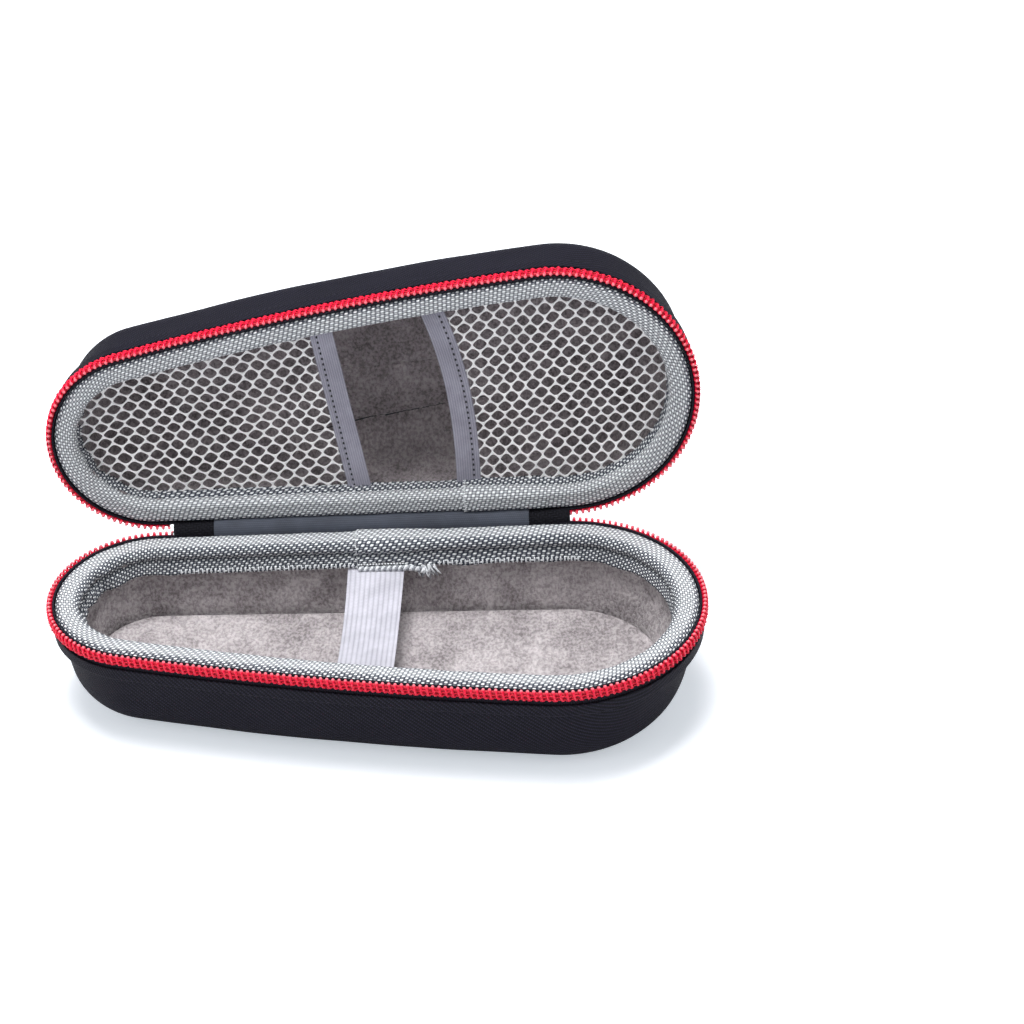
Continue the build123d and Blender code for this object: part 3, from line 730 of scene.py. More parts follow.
for side_name, (cell_a, cell_b) in CELLS.items():
    sign = SIDE_SIGN[side_name]
    i, j = np.meshgrid(np.arange(-40, 41), np.arange(-40, 41), indexing="ij")
    centres = (i[..., None] * cell_a + j[..., None] * cell_b + np.array([sign * 45.0, 0.0])).reshape(-1, 2)
    right_join, top_join = (cell_a - cell_b) / 2, (cell_a + cell_b) / 2
    reach = NET_JOIN / 2 * unit(cell_a + cell_b)
    quarter = np.array([right_join - reach, right_join + reach, top_join - reach])
    six = np.concatenate([quarter, [reach - right_join, -right_join - reach, reach - top_join]])
    around = np.stack([six, (six + np.roll(six, -1, 0)) / 2], 1).reshape(-1, 2)
    far = np.linalg.norm(around, axis=1, keepdims=True)
    pull = np.where(np.arange(12)[:, None] % 2 == 0, NET_PULL, 1.0)
    hole = around * pull * (1 - NET_STRAND / 2 / np.minimum(far, 2.2))
    cells = np.stack([centres[:, None] + around, centres[:, None] + hole], 1)
    past = sign * (centres[:, 0] - seam_edge(side_name, np.clip(pocket_t(centres[:, 1]), 0, 1)))
    cells = cells[(past > -1.2) & (kept_inside(centres, 0.0)[1] < NET_OUT + 1.2)]
    crowd = [waves(cells[..., 0], cells[..., 1], seed, scale, 2) for seed, scale in ((31, 38.0), (32, 34.0))]
    plan = kept_inside(cells + NET_CROWD * np.stack(crowd, -1), NET_OUT)[0]
    stop = seam_edge(side_name, np.clip(pocket_t(plan[..., 1]), 0, 1)) - sign * NET_UNDER
    plan[..., 0] = np.where(sign * (plan[..., 0] - stop) < 0, stop, plan[..., 0])
    hold = np.clip((NET_OUT - kept_inside(plan, 0.0)[1]) / 9.0, 0, 1)
    hold = hold * np.clip(sign * (plan[..., 0] - stop) / 12.0, 0.0, 1)
    billow = NET_BILLOW * hold * waves(plan[..., 0], plan[..., 1], 33, 24.0, 2)
    height = NET_DEEP + billow + NET_RISE * hold
    points = stand(plan, height, "lid")
    pocket = mesh_piece(side_name + "_net", points, ring_faces(len(plan), 2, 12), net, "lid")
    weld(pocket, 0.12 * MM, 0.05 * MM)
    yarn = solid_sheet(pocket, NET_THICK, 0.0).modifiers.new("round", "SUBSURF")
    yarn.levels = 1
    yarn.render_levels = 1
    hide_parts(side_name + "_mesh_pocket")

# ---------------------------------------------------------------------------
# Pocket elastics. Grey ribbed elastic folded over each net's free edge and sewn
# through with black thread; its ends go in under the lid's rim binding.
ribbed, ribbed_in, ribbed_out = group_of("ribbed_elastic", ("Rib", "Knit"), ("Height", "Groove"))
ribbed_u, ribbed_v, _ = node(ribbed, "SeparateXYZ", Vector=ribbed_in["Cloth"]).outputs
rib_place = calc("DIVIDE", ribbed_v, ribbed_in["Rib"])
knit_place = calc("DIVIDE", ribbed_u, ribbed_in["Knit"])
rib_round = calc("POWER", calc("ABSOLUTE", calc("SINE", calc("MULTIPLY", rib_place, math.pi))), 0.5)
half_step = calc("MULTIPLY", calc("FLOOR", rib_place), math.pi)
slant = calc("MULTIPLY", calc("PINGPONG", rib_place, 0.5), 3.0)
knit_turn = calc("MULTIPLY_ADD", knit_place, math.tau, calc("ADD", half_step, slant))
knit_wave = calc("MULTIPLY_ADD", calc("SINE", knit_turn), 0.5, 0.5)
rib_height = calc("MULTIPLY", rib_round, calc("MULTIPLY_ADD", knit_wave, 0.35, 0.65))
fill(ribbed_out, Height=rib_height, Groove=calc("SUBTRACT", 1.0, rib_round))


def elastic_finish(name, tones, rib, knit, relief, rough=0.75):
    """Ribbed elastic on the piece's own UV map: ribs run along u, the knit crosses them,
    and the tone drifts over a centimetre or so."""
    material, tree, shader = finish_of(name, Roughness=rough, Sheen_Weight=0.15)
    cloth = node(tree, "UVMap", uv_map="cloth").outputs[0]
    height = node(tree, "Group", node_tree=ribbed, Cloth=cloth, Rib=rib, Knit=knit).outputs["Height"]
    place = node(tree, "TexCoord").outputs["Object"]
    drift = contrast(noise(place, 110.0, 4.0, 0.6), 0.3, 0.7)
    tone = calc("MULTIPLY_ADD", drift, 0.28, calc("MULTIPLY", noise(place, 3800.0, 3.0, 0.7), 0.32))
    fill(shader, Base_Color=mixed(calc("MULTIPLY_ADD", height, 0.55, tone), *tones))
    bump_on(shader, height, 0.9, relief)
    return material


def thread_finish(name, dark, light):
    """Twisted sewing thread: fine streaks between two tones."""
    material, tree, shader = finish_of(name, Roughness=0.6)
    twist = noise(node(tree, "TexCoord").outputs["Object"], 6000.0, 3.0, 0.6, (1.0, 0.4, 1.0))
    fill(shader, Base_Color=mixed(contrast(twist, 0.35, 0.65), dark, light))
    bump_on(shader, twist, 0.6, 0.08)
    return material


def ways(points):
    """Unit steps along a line of points."""
    return unit(np.gradient(points, axis=0))


def stitch_row(name, centres, directions, ups, long, radius, material, ride):
    """Stitches as short closed spindles: six-sided rings whose radius is the root of the
    sine of the way along, each laid along its direction with its round side up."""
    t = np.linspace(0, 1, 6)
    size = np.sqrt(np.clip(np.sin(math.pi * t), 0, 1)) * radius * MM
    turn = np.linspace(0, math.tau, 6, endpoint=False)[None, :, None]
    ring = np.cos(turn) * ups[:, None] + np.sin(turn) * np.cross(directions, ups)[:, None]
    middle = centres[:, None] + directions[:, None] * ((t - 0.5) * long * MM)[None, :, None]
    points = middle[:, :, None] + ring[:, None] * size[None, :, None, None]
    return weld(mesh_piece(name, points, ring_faces(len(centres), 6, 6), material, ride), outward=True)


ELASTIC_WIDE = 7.3
ELASTIC_THICK = 0.95
ELASTIC_OVER = 0.62
ELASTIC_SEAM = 2.0
ELASTIC_STITCH = 1.9
pocket_tones = ((0.085, 0.083, 0.11), (0.42, 0.415, 0.50))
pocket_elastic = elastic_finish("grey_pocket_elastic", pocket_tones, 0.72, 0.5, 0.07)
black_thread = thread_finish("black_thread", (0.006, 0.006, 0.008), (0.04, 0.04, 0.05))


def elastic_lie(x, y, t):
    """How far the stretched elastic strays in depth, in mm, between its sewn ends."""
    fall = np.sin(math.pi * np.clip((t - 0.02) / 0.96, 0, 1))
    return 0.35 * fall * waves(x, y, 41, 26.0, 2)


for side_name, sign in SIDE_SIGN.items():
    t = np.linspace(-0.04, 1.04, 150)[:, None]
    y = POCKET_BACK + (POCKET_FRONT - POCKET_BACK) * t
    across = np.linspace(0, 1, 26)
    x = free_edge(side_name, t) + (seam_edge(side_name, t) - free_edge(side_name, t)) * across
    plan = kept_inside(np.stack([x, y + 0 * x], -1), -7.5)[0]
    roll = 0.20 * np.sqrt(np.clip(np.sin(math.pi * across), 0, 1))
    crease = -0.16 * np.exp(-(((1 - across) * ELASTIC_WIDE - ELASTIC_SEAM) ** 2) / 0.25)
    height = NET_DEEP - ELASTIC_OVER + 0.2 - (roll + crease)[None] + elastic_lie(x, y + 0 * x, t)
    band = sheet_mesh(
        side_name + "_pocket_edge",
        stand(plan, height, "lid"),
        (POCKET_BACK - y)[:, 0],
        across * ELASTIC_WIDE,
        pocket_elastic,
        "lid",
        flip=side_name == "right",
    )
    solid_sheet(band, ELASTIC_THICK)
    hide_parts(side_name + "_pocket_elastic")
    line_y = np.arange(POCKET_BACK - 2.5, POCKET_FRONT + 1.5, -ELASTIC_STITCH)
    row = np.stack([seam_edge(side_name, pocket_t(line_y)) - sign * ELASTIC_SEAM, line_y], -1)
    row = row[kept_inside(row, 0.0)[1] < -8.0]
    deep = NET_DEEP - ELASTIC_OVER + 0.08 + elastic_lie(row[:, 0], row[:, 1], pocket_t(row[:, 1]))
    centres = stand(row, deep, "lid")
    toward = unit(stand(row, deep - 1.0, "lid") - centres)
    seam_name = side_name + "_pocket_seam"
    seam = stitch_row(seam_name, centres, ways(centres), toward, 0.95, 0.32, black_thread, "lid")

# ---------------------------------------------------------------------------
# Base strap. Broad pale ribbed elastic across the base with a plain selvedge on
# both sides; it hangs a little and its ends are sewn in under the rim binding.
STRAP_WIDE = 17.5
STRAP_THICK = 0.95
STRAP_RIB = 1.55
STRAP_END = 8.4
STRAP_SAG = 4.0
STRAP_IN = 7.9
STRAP_BACK_X = -1.5
STRAP_FRONT_X = -3.0
strap_tones = ((0.20, 0.20, 0.235), (0.56, 0.555, 0.625))
strap_elastic = elastic_finish("pale_strap_elastic", strap_tones, STRAP_RIB, 0.62, 0.16, 0.7)
front_y = float(C_FRONT[1] - math.sqrt((R_FRONT - STRAP_IN) ** 2 - (STRAP_FRONT_X - C_FRONT[0]) ** 2)) - 0.5
back_y = BACK_Y - STRAP_IN + 0.5
t = np.linspace(0, 1, 130)[:, None]
across = np.linspace(-0.5, 0.5, 60)
y = back_y + (front_y - back_y) * t
middle = STRAP_BACK_X + (STRAP_FRONT_X - STRAP_BACK_X) * t
x = middle + STRAP_WIDE * across * (1 - 0.025 * np.sin(math.pi * t))
plan = np.stack([x, y + 0 * x], -1)
sag = STRAP_SAG * np.sin(math.pi * t) ** 0.8 + 0.15 * waves(x, y + 0 * x, 51, 40.0, 2)
curl = 0.35 * (2 * np.abs(across)) ** 6
rib_rise = 0.11 * np.sqrt(np.abs(np.sin(math.pi * across * STRAP_WIDE / STRAP_RIB)))
strap = sheet_mesh(
    "ribbed_base_strap",
    stand(plan, STRAP_END + sag + curl - rib_rise, "base"),
    (back_y - y)[:, 0],
    across * STRAP_WIDE,
    strap_elastic,
    "base",
)
solid_sheet(strap, STRAP_THICK)
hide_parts("elastic_strap")

# ---------------------------------------------------------------------------
# Zip tapes. Black woven polyester tape, glued between cover and rim binding so
# that its edge with the coil stands upright round each half's mouth.
TAPE_THICK = 0.55
TAPE_EDGES = (0.3, 9.2)
TAPE_FROM = 63.2
TAPE_TO = float(S_BREAKS[4]) + 1.2
tape_tones = ((0.001, 0.001, 0.002), (0.020, 0.020, 0.030))
tape_cloth = cloth_finish("black_zip_tape", tape_tones, 0.7, 2, 0.42, 0.18)
for half in ("base", "lid"):
    s = np.linspace(TAPE_FROM, TAPE_TO, 420)
    line = np.linspace(*TAPE_EDGES, 14) + 0 * s[:, None]
    place = stand(rim(s[:, None] + 0 * line, 0 * line - 0.02), line, half)
    tape = sheet_mesh(half + "_zip_tape_cloth", place, s, line, tape_cloth, half, flip=half == "base")
    solid_sheet(tape, TAPE_THICK)
    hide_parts(half + "_zip_tape")

# ---------------------------------------------------------------------------
# Zip coils. Red nylon monofilament wound flat round a cord, one loop a tooth,
# each pressed wider at its head, and sewn to the tape by two rows of thread.
PITCH = 1.85
COIL_FROM = 64.0
COIL_START = 64.6
COIL_LATER = {"base": 0.0, "lid": PITCH / 2}
CORD_LEVELS = (1.25, 2.0, 2.75)
CORD_N = 0.57
CORD_RADIUS = 0.56
THREAD_LEVELS = (1.55, 2.6)
THREAD_N = 1.50
THREAD_RADIUS = 0.17


def beside_rim(s, n, d, half, out=1.0):
    """Points at s, n, d in a half, and the unit way from each to where n is greater, or
    less when out is -1."""
    n, d = n + 0 * s, d + 0 * s
    points = stand(rim(s, n), d, half)
    return points, unit(stand(rim(s, n + out), d, half) - points)


def tube(name, points, reference, radius, sides, v, material, ride):
    """Round tube: rings of sides points about a line, each square to it, the first
    direction being the reference's part that is square to the line. Both ends close."""
    points = np.concatenate([points[:1], points, points[-1:]])
    reference = np.concatenate([reference[:1], reference, reference[-1:]])
    radius = np.concatenate([[0.0], np.broadcast_to(radius, len(points) - 2), [0.0]]) * MM
    v = np.concatenate([v[:1], v, v[-1:]])
    along = np.gradient(points[1:-1], axis=0)
    along = unit(np.concatenate([along[:1], along, along[-1:]]))
    first = unit(reference - along * (reference * along).sum(1, keepdims=True))
    second = np.cross(along, first)
    turn = np.linspace(0, math.tau, sides, endpoint=False)[:, None, None]
    rings = points + radius[:, None] * (np.cos(turn) * first + np.sin(turn) * second)
    u = np.linspace(0, 1, sides + 1)[:, None] + 0 * v
    return weld(sheet_mesh(name, rings, u, v + 0 * u, material, ride, closed=True))


def swept(power, value):
    """A sine or cosine raised to a power with its sign kept, for a squarer loop."""
    return np.sign(value) * np.abs(value) ** power


def coil_loops(first, count):
    """Line of the monofilament from the first tooth: s runs on by a pitch a turn but
    waits at each head, d and n go round a flat loop, and the thickness swells at heads."""
    turn = np.arange(count * 10 - 4) * math.tau / 10
    phase = np.mod(turn, math.tau)
    s = first + PITCH * (turn - 0.6 * np.sin(turn)) / math.tau
    d = 1.55 - 1.57 * swept(0.6, np.cos(phase))
    n = 0.98 + 0.55 * swept(0.8, np.sin(phase))
    return s, n, d, 0.36 + 0.15 * np.exp(-(1 - np.cos(phase)) / 0.16)


nylon, nylon_tree, nylon_shader = finish_of(
    "red_nylon_filament", Roughness=0.33, Specular_IOR_Level=0.35, Coat_Weight=0.08, Coat_Roughness=0.15
)
nylon_cloth = node(nylon_tree, "UVMap", uv_map="cloth").outputs[0]
nylon_deep = node(nylon_tree, "SeparateXYZ", Vector=nylon_cloth).outputs[1]
# painted highlight: a pale pink tip on each tooth's head stands in for the lamp's glint on the nylon
nylon_head_highlight = calc("MULTIPLY", contrast(calc("SUBTRACT", 0.2, nylon_deep), 0.0, 0.2), 0.38)
nylon_streak = noise(node(nylon_tree, "TexCoord").outputs["Object"], 1500.0, 2.0)
nylon_red = mixed(nylon_streak, (0.72, 0.001, 0.022), (1.0, 0.004, 0.065))
fill(nylon_shader, Base_Color=mixed(nylon_head_highlight, nylon_red, (1.0, 0.55, 0.60)))
bump_on(nylon_shader, nylon_streak, 0.3, 0.05)
red_thread = thread_finish("red_sewing_thread", (0.55, 0.001, 0.016), (0.95, 0.003, 0.055))
red_cord = thread_finish("deep_red_cord", (0.30, 0.0008, 0.010), (0.66, 0.002, 0.036))

for half, later in COIL_LATER.items():
    coil_room = float(S_BREAKS[4]) - COIL_FROM - 2 * (COIL_START - COIL_FROM + later)
    tooth_count = int(coil_room / PITCH) + 1
    first_tooth = COIL_START + later
    last_tooth = first_tooth + PITCH * (tooth_count - 1)
    s, n, d, thick = coil_loops(first_tooth, tooth_count)
    points = stand(rim(s, n), d, half)
    beside = stand(rim(s + 0.05, n), d, half) - points
    coil = tube(half + "_nylon_coil", points, beside, thick, 6, d, nylon, half)
    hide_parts(half + "_zip_coil")
    for row, level in enumerate(CORD_LEVELS):
        s = np.linspace(first_tooth, last_tooth, 260)
        cord_at = beside_rim(s, CORD_N, level, half)
        cord = tube(f"{half}_coil_cord_{row}", *cord_at, CORD_RADIUS, 8, s, red_cord, half)
    for row, level in enumerate(THREAD_LEVELS):
        s = np.arange(first_tooth, last_tooth, PITCH / 6)
        swing = math.tau * (s - first_tooth) / PITCH
        n = THREAD_N + 0.30 * np.cos(swing - 1.0)
        d = level + 0.24 * np.sin(swing / 2 + row)
        sewn_at = beside_rim(s, n, d, half)
        sewn = tube(f"{half}_coil_thread_{row}", *sewn_at, THREAD_RADIUS, 4, s, red_thread, half)

# ---------------------------------------------------------------------------
# Rim bindings. A strip of coarse grey plain weave folded over the foam's edge and
# sewn through: a padded roll on top, a crease, and a flat band down the inside.
BINDING_THICK = 0.6
BINDING_LAP_THICK = 0.5
BINDING_LEAN = {"base": -0.5, "lid": 0.5}
BINDING_LAP = {"base": (7.0, -16.0), "lid": (-26.8, -52.0)}
LEFT_END = 112.0
RIGHT_END = 352.0
DEEP_FOLD = 121.0
BINDING_SECTION = {
    "base": [
        (-0.75, 7.5),
        (-0.72, 0.05, 1.6),
        (-7.90, 0.05, 2.1),
        (-8.50, 3.0, 1.3),
        (-7.20, 4.4, 0.3),
        (-8.30, 5.4, 0.8),
        (-9.15, 8.7),
    ],
    "lid": [
        (-0.75, 7.5),
        (-0.72, 0.05, 1.6),
        (-7.30, 0.05, 2.1),
        (-7.80, 3.0, 1.3),
        (-7.15, 4.3, 0.3),
        (-7.70, 5.1, 0.5),
        (-8.20, 7.3),
    ],
}


def binding_shading(shade, cloth, place):
    """Painted light and shade: the weave's gaps are drawn dark on the strip's outer leg and
    inner band, which face away from the lamp, and paler over the roll's top, which faces it;
    the bounds move in front and in the lid."""
    tree = shade.id_data
    length = node(tree, "SeparateXYZ", Vector=cloth).outputs[1]
    back = node(tree, "SeparateXYZ", Vector=place).outputs[1]
    in_front = contrast(calc("MULTIPLY", back, -1.0), 0.0, 0.030)
    on_roll = contrast(calc("MULTIPLY_ADD", in_front, -0.9, length), 7.4, 8.8)
    in_lid = contrast(back, 0.0420, 0.0435)
    off_roll = contrast(calc("MULTIPLY_ADD", in_lid, -3.2, length), 11.8, 13.6)
    # painted light and shade: gaps drawn dark where the strip faces away from the lamp, paler on the roll's
    # top that faces it
    painted_light_mix = node(tree, "Mix")
    shaded_side_weave = contrast(shade, 0.16, 1.05)
    lit_top_weave = calc("MULTIPLY_ADD", shade, 0.90, 0.10)
    for index, value in ((0, calc("SUBTRACT", on_roll, off_roll)), (2, shaded_side_weave), (3, lit_top_weave)):
        put(painted_light_mix.inputs[index], value)
    return painted_light_mix.outputs[0]


def binding_pucker(s, length, n, d):
    """The strip is gathered on the tight inside of each end, most at the left one: small
    upright folds that grow from the roll to the band, and a slow wander of its edges."""
    left, right, deep = (
        np.exp(-(((np.mod(s, RIM_LONG) - place) / spread) ** 2))
        for place, spread in ((LEFT_END, 30.0), (RIGHT_END, 50.0), (DEEP_FOLD, 2.6))
    )
    inner_part = np.clip((length - 13.0) / 4.0, 0, 1)
    fold = waves(1.6 * s, 0.35 * length, 61, 9.0, 2) * inner_part * (0.07 + 0.85 * left + 0.22 * right)
    down_band = np.sin(math.pi * np.clip((length - 13.0) / 9.0, 0, 1))
    deep_fold = -1.2 * inner_part * deep * down_band
    loft = 0.10 * waves(s, length, 62, 16.0, 2) * np.clip((length - 5.0) / 2.0, 0, 1)
    hem = 0.30 * waves(s, 0 * length, 63, 18.0, 2) * np.clip((length - 17.0) / 3.0, 0, 1)
    return n - fold - deep_fold - loft * inner_part, d + hem - loft * (1 - inner_part)


def binding_strip(name, half, s, shift=None):
    """The binding's profile carried along s. Its weave leans along s by a share of the
    way down that swings slowly round the rim."""
    section, length = binding_profile[half]
    line = np.broadcast_to(section, (len(s), *section.shape))
    n, d = binding_pucker(s[:, None], length[None], line[..., 0], line[..., 1])
    if shift is not None:
        n, d = shift(s[:, None], length[None], n, d)
    points = stand(rim(s[:, None] + 0 * n, n), d, half)
    closed = shift is None
    along = np.append(s, s[0] + RIM_LONG) if closed else s
    lean = BINDING_LEAN[half] * (0.8 + 0.4 * np.sin(math.tau * along / RIM_LONG * 3 + 1.0))
    u = along[:, None] + lean[:, None] * length
    return sheet_mesh(name, points, u, length + 0 * u, binding_cloth, half, closed, half == "lid")


def overlap_from(s_edge, s_end):
    """Lifts the strip's end off the one under it by its own thickness, which dies away
    towards s_end."""

    def lift(s, length, n, d):
        share = np.clip((s - s_end) / (s_edge - s_end), 0, 1)
        rise = 0.85 * share**0.4 - 0.06
        inward = np.clip((length - 12.0) / 3.0, 0, 1)
        outward = np.clip((8.0 - length) / 2.0, 0, 1)
        return n - rise * inward + 0.3 * rise * outward, d - rise * (1 - inward) * (1 - outward)

    return lift


binding_tones = ((0.034, 0.042, 0.064), (0.95, 0.98, 1.0))
binding_cloth = cloth_finish(
    "grey_binding_weave", binding_tones, 1.33, 1, 0.73, 0.34, 0.6, 0.22, 0.54, 0.3, 1.28, binding_shading
)
binding_profile = {half: smooth_profile(corners, 0.5) for half, corners in BINDING_SECTION.items()}
binding_extras = {"base": [], "lid": []}


def goes_with(half, piece):
    """Counts a small piece as part of its half's binding."""
    binding_extras[half].append(piece)


for half, (s_edge, s_end) in BINDING_LAP.items():
    strip = binding_strip(half + "_rim_strip", half, np.linspace(0, RIM_LONG, 620, endpoint=False))
    solid_sheet(strip, BINDING_THICK)
    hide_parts(half + "_rim_binding")
    lap_s = np.linspace(s_end, s_edge, 60)
    lap = binding_strip(half + "_rim_strip_end", half, lap_s, overlap_from(s_edge, s_end))
    solid_sheet(lap, BINDING_LAP_THICK)
    goes_with(half, lap)

# Loose yarns of the bindings' cut ends: a tuft that hangs from the base's end, a short
# fringe along both cut edges, and the two yarns twisted into the hem beside the tuft.
TUFT_YARNS = 26
TUFT_PALE = 15
FRINGE_YARNS = 34
LOOSE_THREADS = 9
HEM_PITCH = 1.75
HEM_RUN = (-13.5, 6.6)
pale_yarn = thread_finish("pale_loose_yarn", (0.50, 0.52, 0.55), (0.92, 0.94, 0.97))
grey_yarn = thread_finish("grey_loose_yarn", (0.10, 0.105, 0.12), (0.42, 0.44, 0.48))


def frayed(name, starts, ends, bow, radius, material, ride):
    """Loose yarns from starts to ends, each a bow that bulges by its own offset at the
    middle, all in one mesh; points are in metres."""
    t = np.linspace(0, 1, 7)[None, :, None]
    line = starts[:, None] * (1 - t) + ends[:, None] * t + bow[:, None] * np.sin(math.pi * t)
    along = unit(np.gradient(line, axis=1))
    first = unit(np.cross(along, np.array([0.37, 0.61, 0.70])))
    second = np.cross(along, first)
    turn = np.linspace(0, math.tau, 5, endpoint=False)[:, None]
    size = radius * MM * np.array([0.0, 1.0, 1.0, 1.0, 0.95, 0.8, 0.0])[None, :, None, None]
    rings = line[:, :, None] + size * (np.cos(turn) * first[:, :, None] + np.sin(turn) * second[:, :, None])
    return weld(mesh_piece(name, rings, ring_faces(len(starts), 7, 5), material, ride))


rng = np.random.default_rng(7)
tuft = rng.uniform(-16.5, -12.0, TUFT_YARNS)
tuft_deep = rng.uniform(7.4, 9.6, TUFT_YARNS)
tuft_start = stand(rim(tuft, -9.2 - rng.uniform(0, 0.5, TUFT_YARNS)), tuft_deep, "base")
tuft_far = rim(tuft - rng.uniform(-0.8, 2.6, TUFT_YARNS), -9.4 - rng.uniform(0, 1.6, TUFT_YARNS))
tuft_end = stand(tuft_far, tuft_deep + rng.uniform(1.4, 3.8, TUFT_YARNS), "base")
tuft_bow = rng.uniform(-0.8, 0.8, (TUFT_YARNS, 3)) * MM
for part, yarn in ((slice(0, TUFT_PALE), pale_yarn), (slice(TUFT_PALE, TUFT_YARNS), grey_yarn)):
    yarn_name = "binding_end_" + yarn.name
    tuft_yarn = frayed(yarn_name, tuft_start[part], tuft_end[part], tuft_bow[part], 0.30, yarn, "base")
    goes_with("base", tuft_yarn)
for half, (s_edge, _) in BINDING_LAP.items():
    section, length = binding_profile[half]
    cut = np.linspace(7.5, length[-1] - 0.3, FRINGE_YARNS)
    cut_in = np.clip((cut - 12.0) / 3.0, 0, 1)
    out_n = np.interp(cut, length, section[:, 0]) - 0.55 * cut_in
    out_d = np.interp(cut, length, section[:, 1]) - 0.55 * (1 - cut_in)
    cut_start = stand(rim(s_edge - 0.5 + 0 * cut, out_n), out_d, half)
    reach = rng.uniform(0.2, 1.2, FRINGE_YARNS)
    fringe_n = out_n + rng.uniform(-0.1, 0.25, FRINGE_YARNS)
    fringe_d = out_d + rng.uniform(-0.3, 0.3, FRINGE_YARNS)
    cut_end = stand(rim(s_edge + reach, fringe_n), fringe_d, half)
    cut_bow = rng.uniform(-0.15, 0.15, (FRINGE_YARNS, 3)) * MM
    fringe = frayed(half + "_binding_cut_fringe", cut_start, cut_end, cut_bow, 0.17, pale_yarn, half)
    goes_with(half, fringe)

s = np.linspace(*HEM_RUN, 100)
sink = np.clip((-7.0 - s) / 6.5, 0, 1) ** 2
for strand, yarn in enumerate((pale_yarn, grey_yarn)):
    swing = math.tau * s / HEM_PITCH + math.pi * strand
    hem = beside_rim(s, -9.75 + 0.5 * np.sin(swing), 8.7 + 1.6 * sink + 0.55 * np.cos(swing), "base")
    hem_cord = tube(f"binding_hem_cord_{strand}", *hem, 0.55, 6, s, yarn, "base")
    goes_with("base", hem_cord)

dash_at, dash_in = beside_rim(np.arange(-7.0, 6.4, 0.92), -9.62, 7.15, "base", -1.0)
dashes = stitch_row("binding_hem_dashes", dash_at, ways(dash_at), dash_in, 0.8, 0.26, pale_yarn, "base")
goes_with("base", dashes)
# painted shade: a black cord laid under the hem's dashes stands in for the dark gap behind them
under_s = np.linspace(-7.4, 6.5, 60)
under_at = beside_rim(under_s, -9.30, 7.2, "base")
hem_shade_cord = tube("binding_hem_shade_cord", *under_at, 0.42, 6, under_s, black_thread, "base")
goes_with("base", hem_shade_cord)

loose_a, loose_b, loose_c = rng.uniform(0, 1, (LOOSE_THREADS, 3)).T
loose_plan = np.stack([-2.4 + 1.6 * loose_a, POCKET_BACK - 0.6 * loose_b], -1)
loose_start = stand(loose_plan, 6.2 - 0.5 * loose_c, "lid")
loose_plan = np.stack([1.0 - 3.0 * loose_b + 2.0 * loose_c, POCKET_BACK - 1.6 * loose_a], -1)
loose_end = stand(loose_plan, 5.6 + 0 * loose_a, "lid")
loose_bow = rng.uniform(-0.9, 0.9, (LOOSE_THREADS, 3)) * MM
loose_thread = frayed("pocket_loose_thread", loose_start, loose_end, loose_bow, 0.13, pale_yarn, "lid")
goes_with("lid", loose_thread)

# The seam through each band: a row of bars overcast along the base's lower edge, bare
# where the hem's dashes run, and plain stitches along the lid's.
base_line = np.arange(-62.0, 62.0, 1.33)
base_line = base_line[(base_line < -18.0) | (base_line > 8.0)]
for half, line, face, level, long, radius in (
    ("base", base_line, -9.25, 7.75, 2.0, 0.30),
    ("lid", np.arange(-54.0, 56.0, 2.3), -8.15, 6.7, 1.35, 0.20),
):
    centres, inward = beside_rim(line, face, level, half, -1.0)
    laid = ways(centres)
    if half == "base":
        laid = unit(beside_rim(line, face - 0.22, level + 1.0, half)[0] - centres)
    sewn = stitch_row(half + "_binding_stitches", centres, laid, inward, long, radius, pale_yarn, half)
    goes_with(half, sewn)

# ---------------------------------------------------------------------------
# Hinge. Black polyester webbing sewn to both back rims, with a shorter grey ribbon
# over its inside.
WEB_FROM = -64.0
WEB_TO = 58.6
RIBBON_SHORT = 12.6
WEB_THICK = 0.75
WEB_OUT = 0.18
WEB_DOWN = 12.0
RIBBON_THICK = 0.33
RIBBON_OUT = -0.66
RIBBON_DOWN = 3.0
SEWN_DOWN = 9.0
BACK_ROLL = 1.0
half_open = LID_OPEN / 2


def over_hinge(n, deep):
    """Line (y, z) up the base's back at n, round the hinge and along the lid's back: two
    straight runs joined by the arc that touches both a little clear of the rims."""
    arm = HINGE_Y - BACK_Y - n
    low = (BACK_Y + n, BASE_DEPTH - deep)
    corner = (BACK_Y + n, BASE_DEPTH + arm * math.tan(half_open))
    far = (
        HINGE_Y - arm * math.cos(LID_OPEN) + deep * math.sin(LID_OPEN),
        BASE_DEPTH + arm * math.sin(LID_OPEN) + deep * math.cos(LID_OPEN),
    )
    radius = (BACK_ROLL + arm * math.tan(half_open)) * math.tan(math.pi / 2 - half_open)
    return smooth_profile([low, (*corner, radius), far], 0.45)


def hinge_strip(name, n, deep, x_from, x_to, stations, material, thick):
    """The line over the hinge carried along x, with its faces a little uneven, most in
    the middle where it is free."""
    line, length = over_hinge(n, deep)
    x = np.linspace(x_from, x_to, stations)
    points = np.stack(np.broadcast_arrays(x[:, None], line[:, 0], line[:, 1]), -1)
    outward = unit(np.stack([0 * line[:, 0], np.gradient(line[:, 1]), -np.gradient(line[:, 0])], -1))
    free = 0.4 + 0 * length
    if deep > SEWN_DOWN:
        free = np.sin(math.pi * np.clip((length - SEWN_DOWN) / (length[-1] - 2 * SEWN_DOWN), 0, 1))
    points = points + outward * (0.16 * free * waves(x[:, None], length, 71, 30.0, 2))[..., None]
    piece = sheet_mesh(name, points * MM, x, length, material, flip=True)
    solid_sheet(piece, thick)
    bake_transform(piece)
    return piece


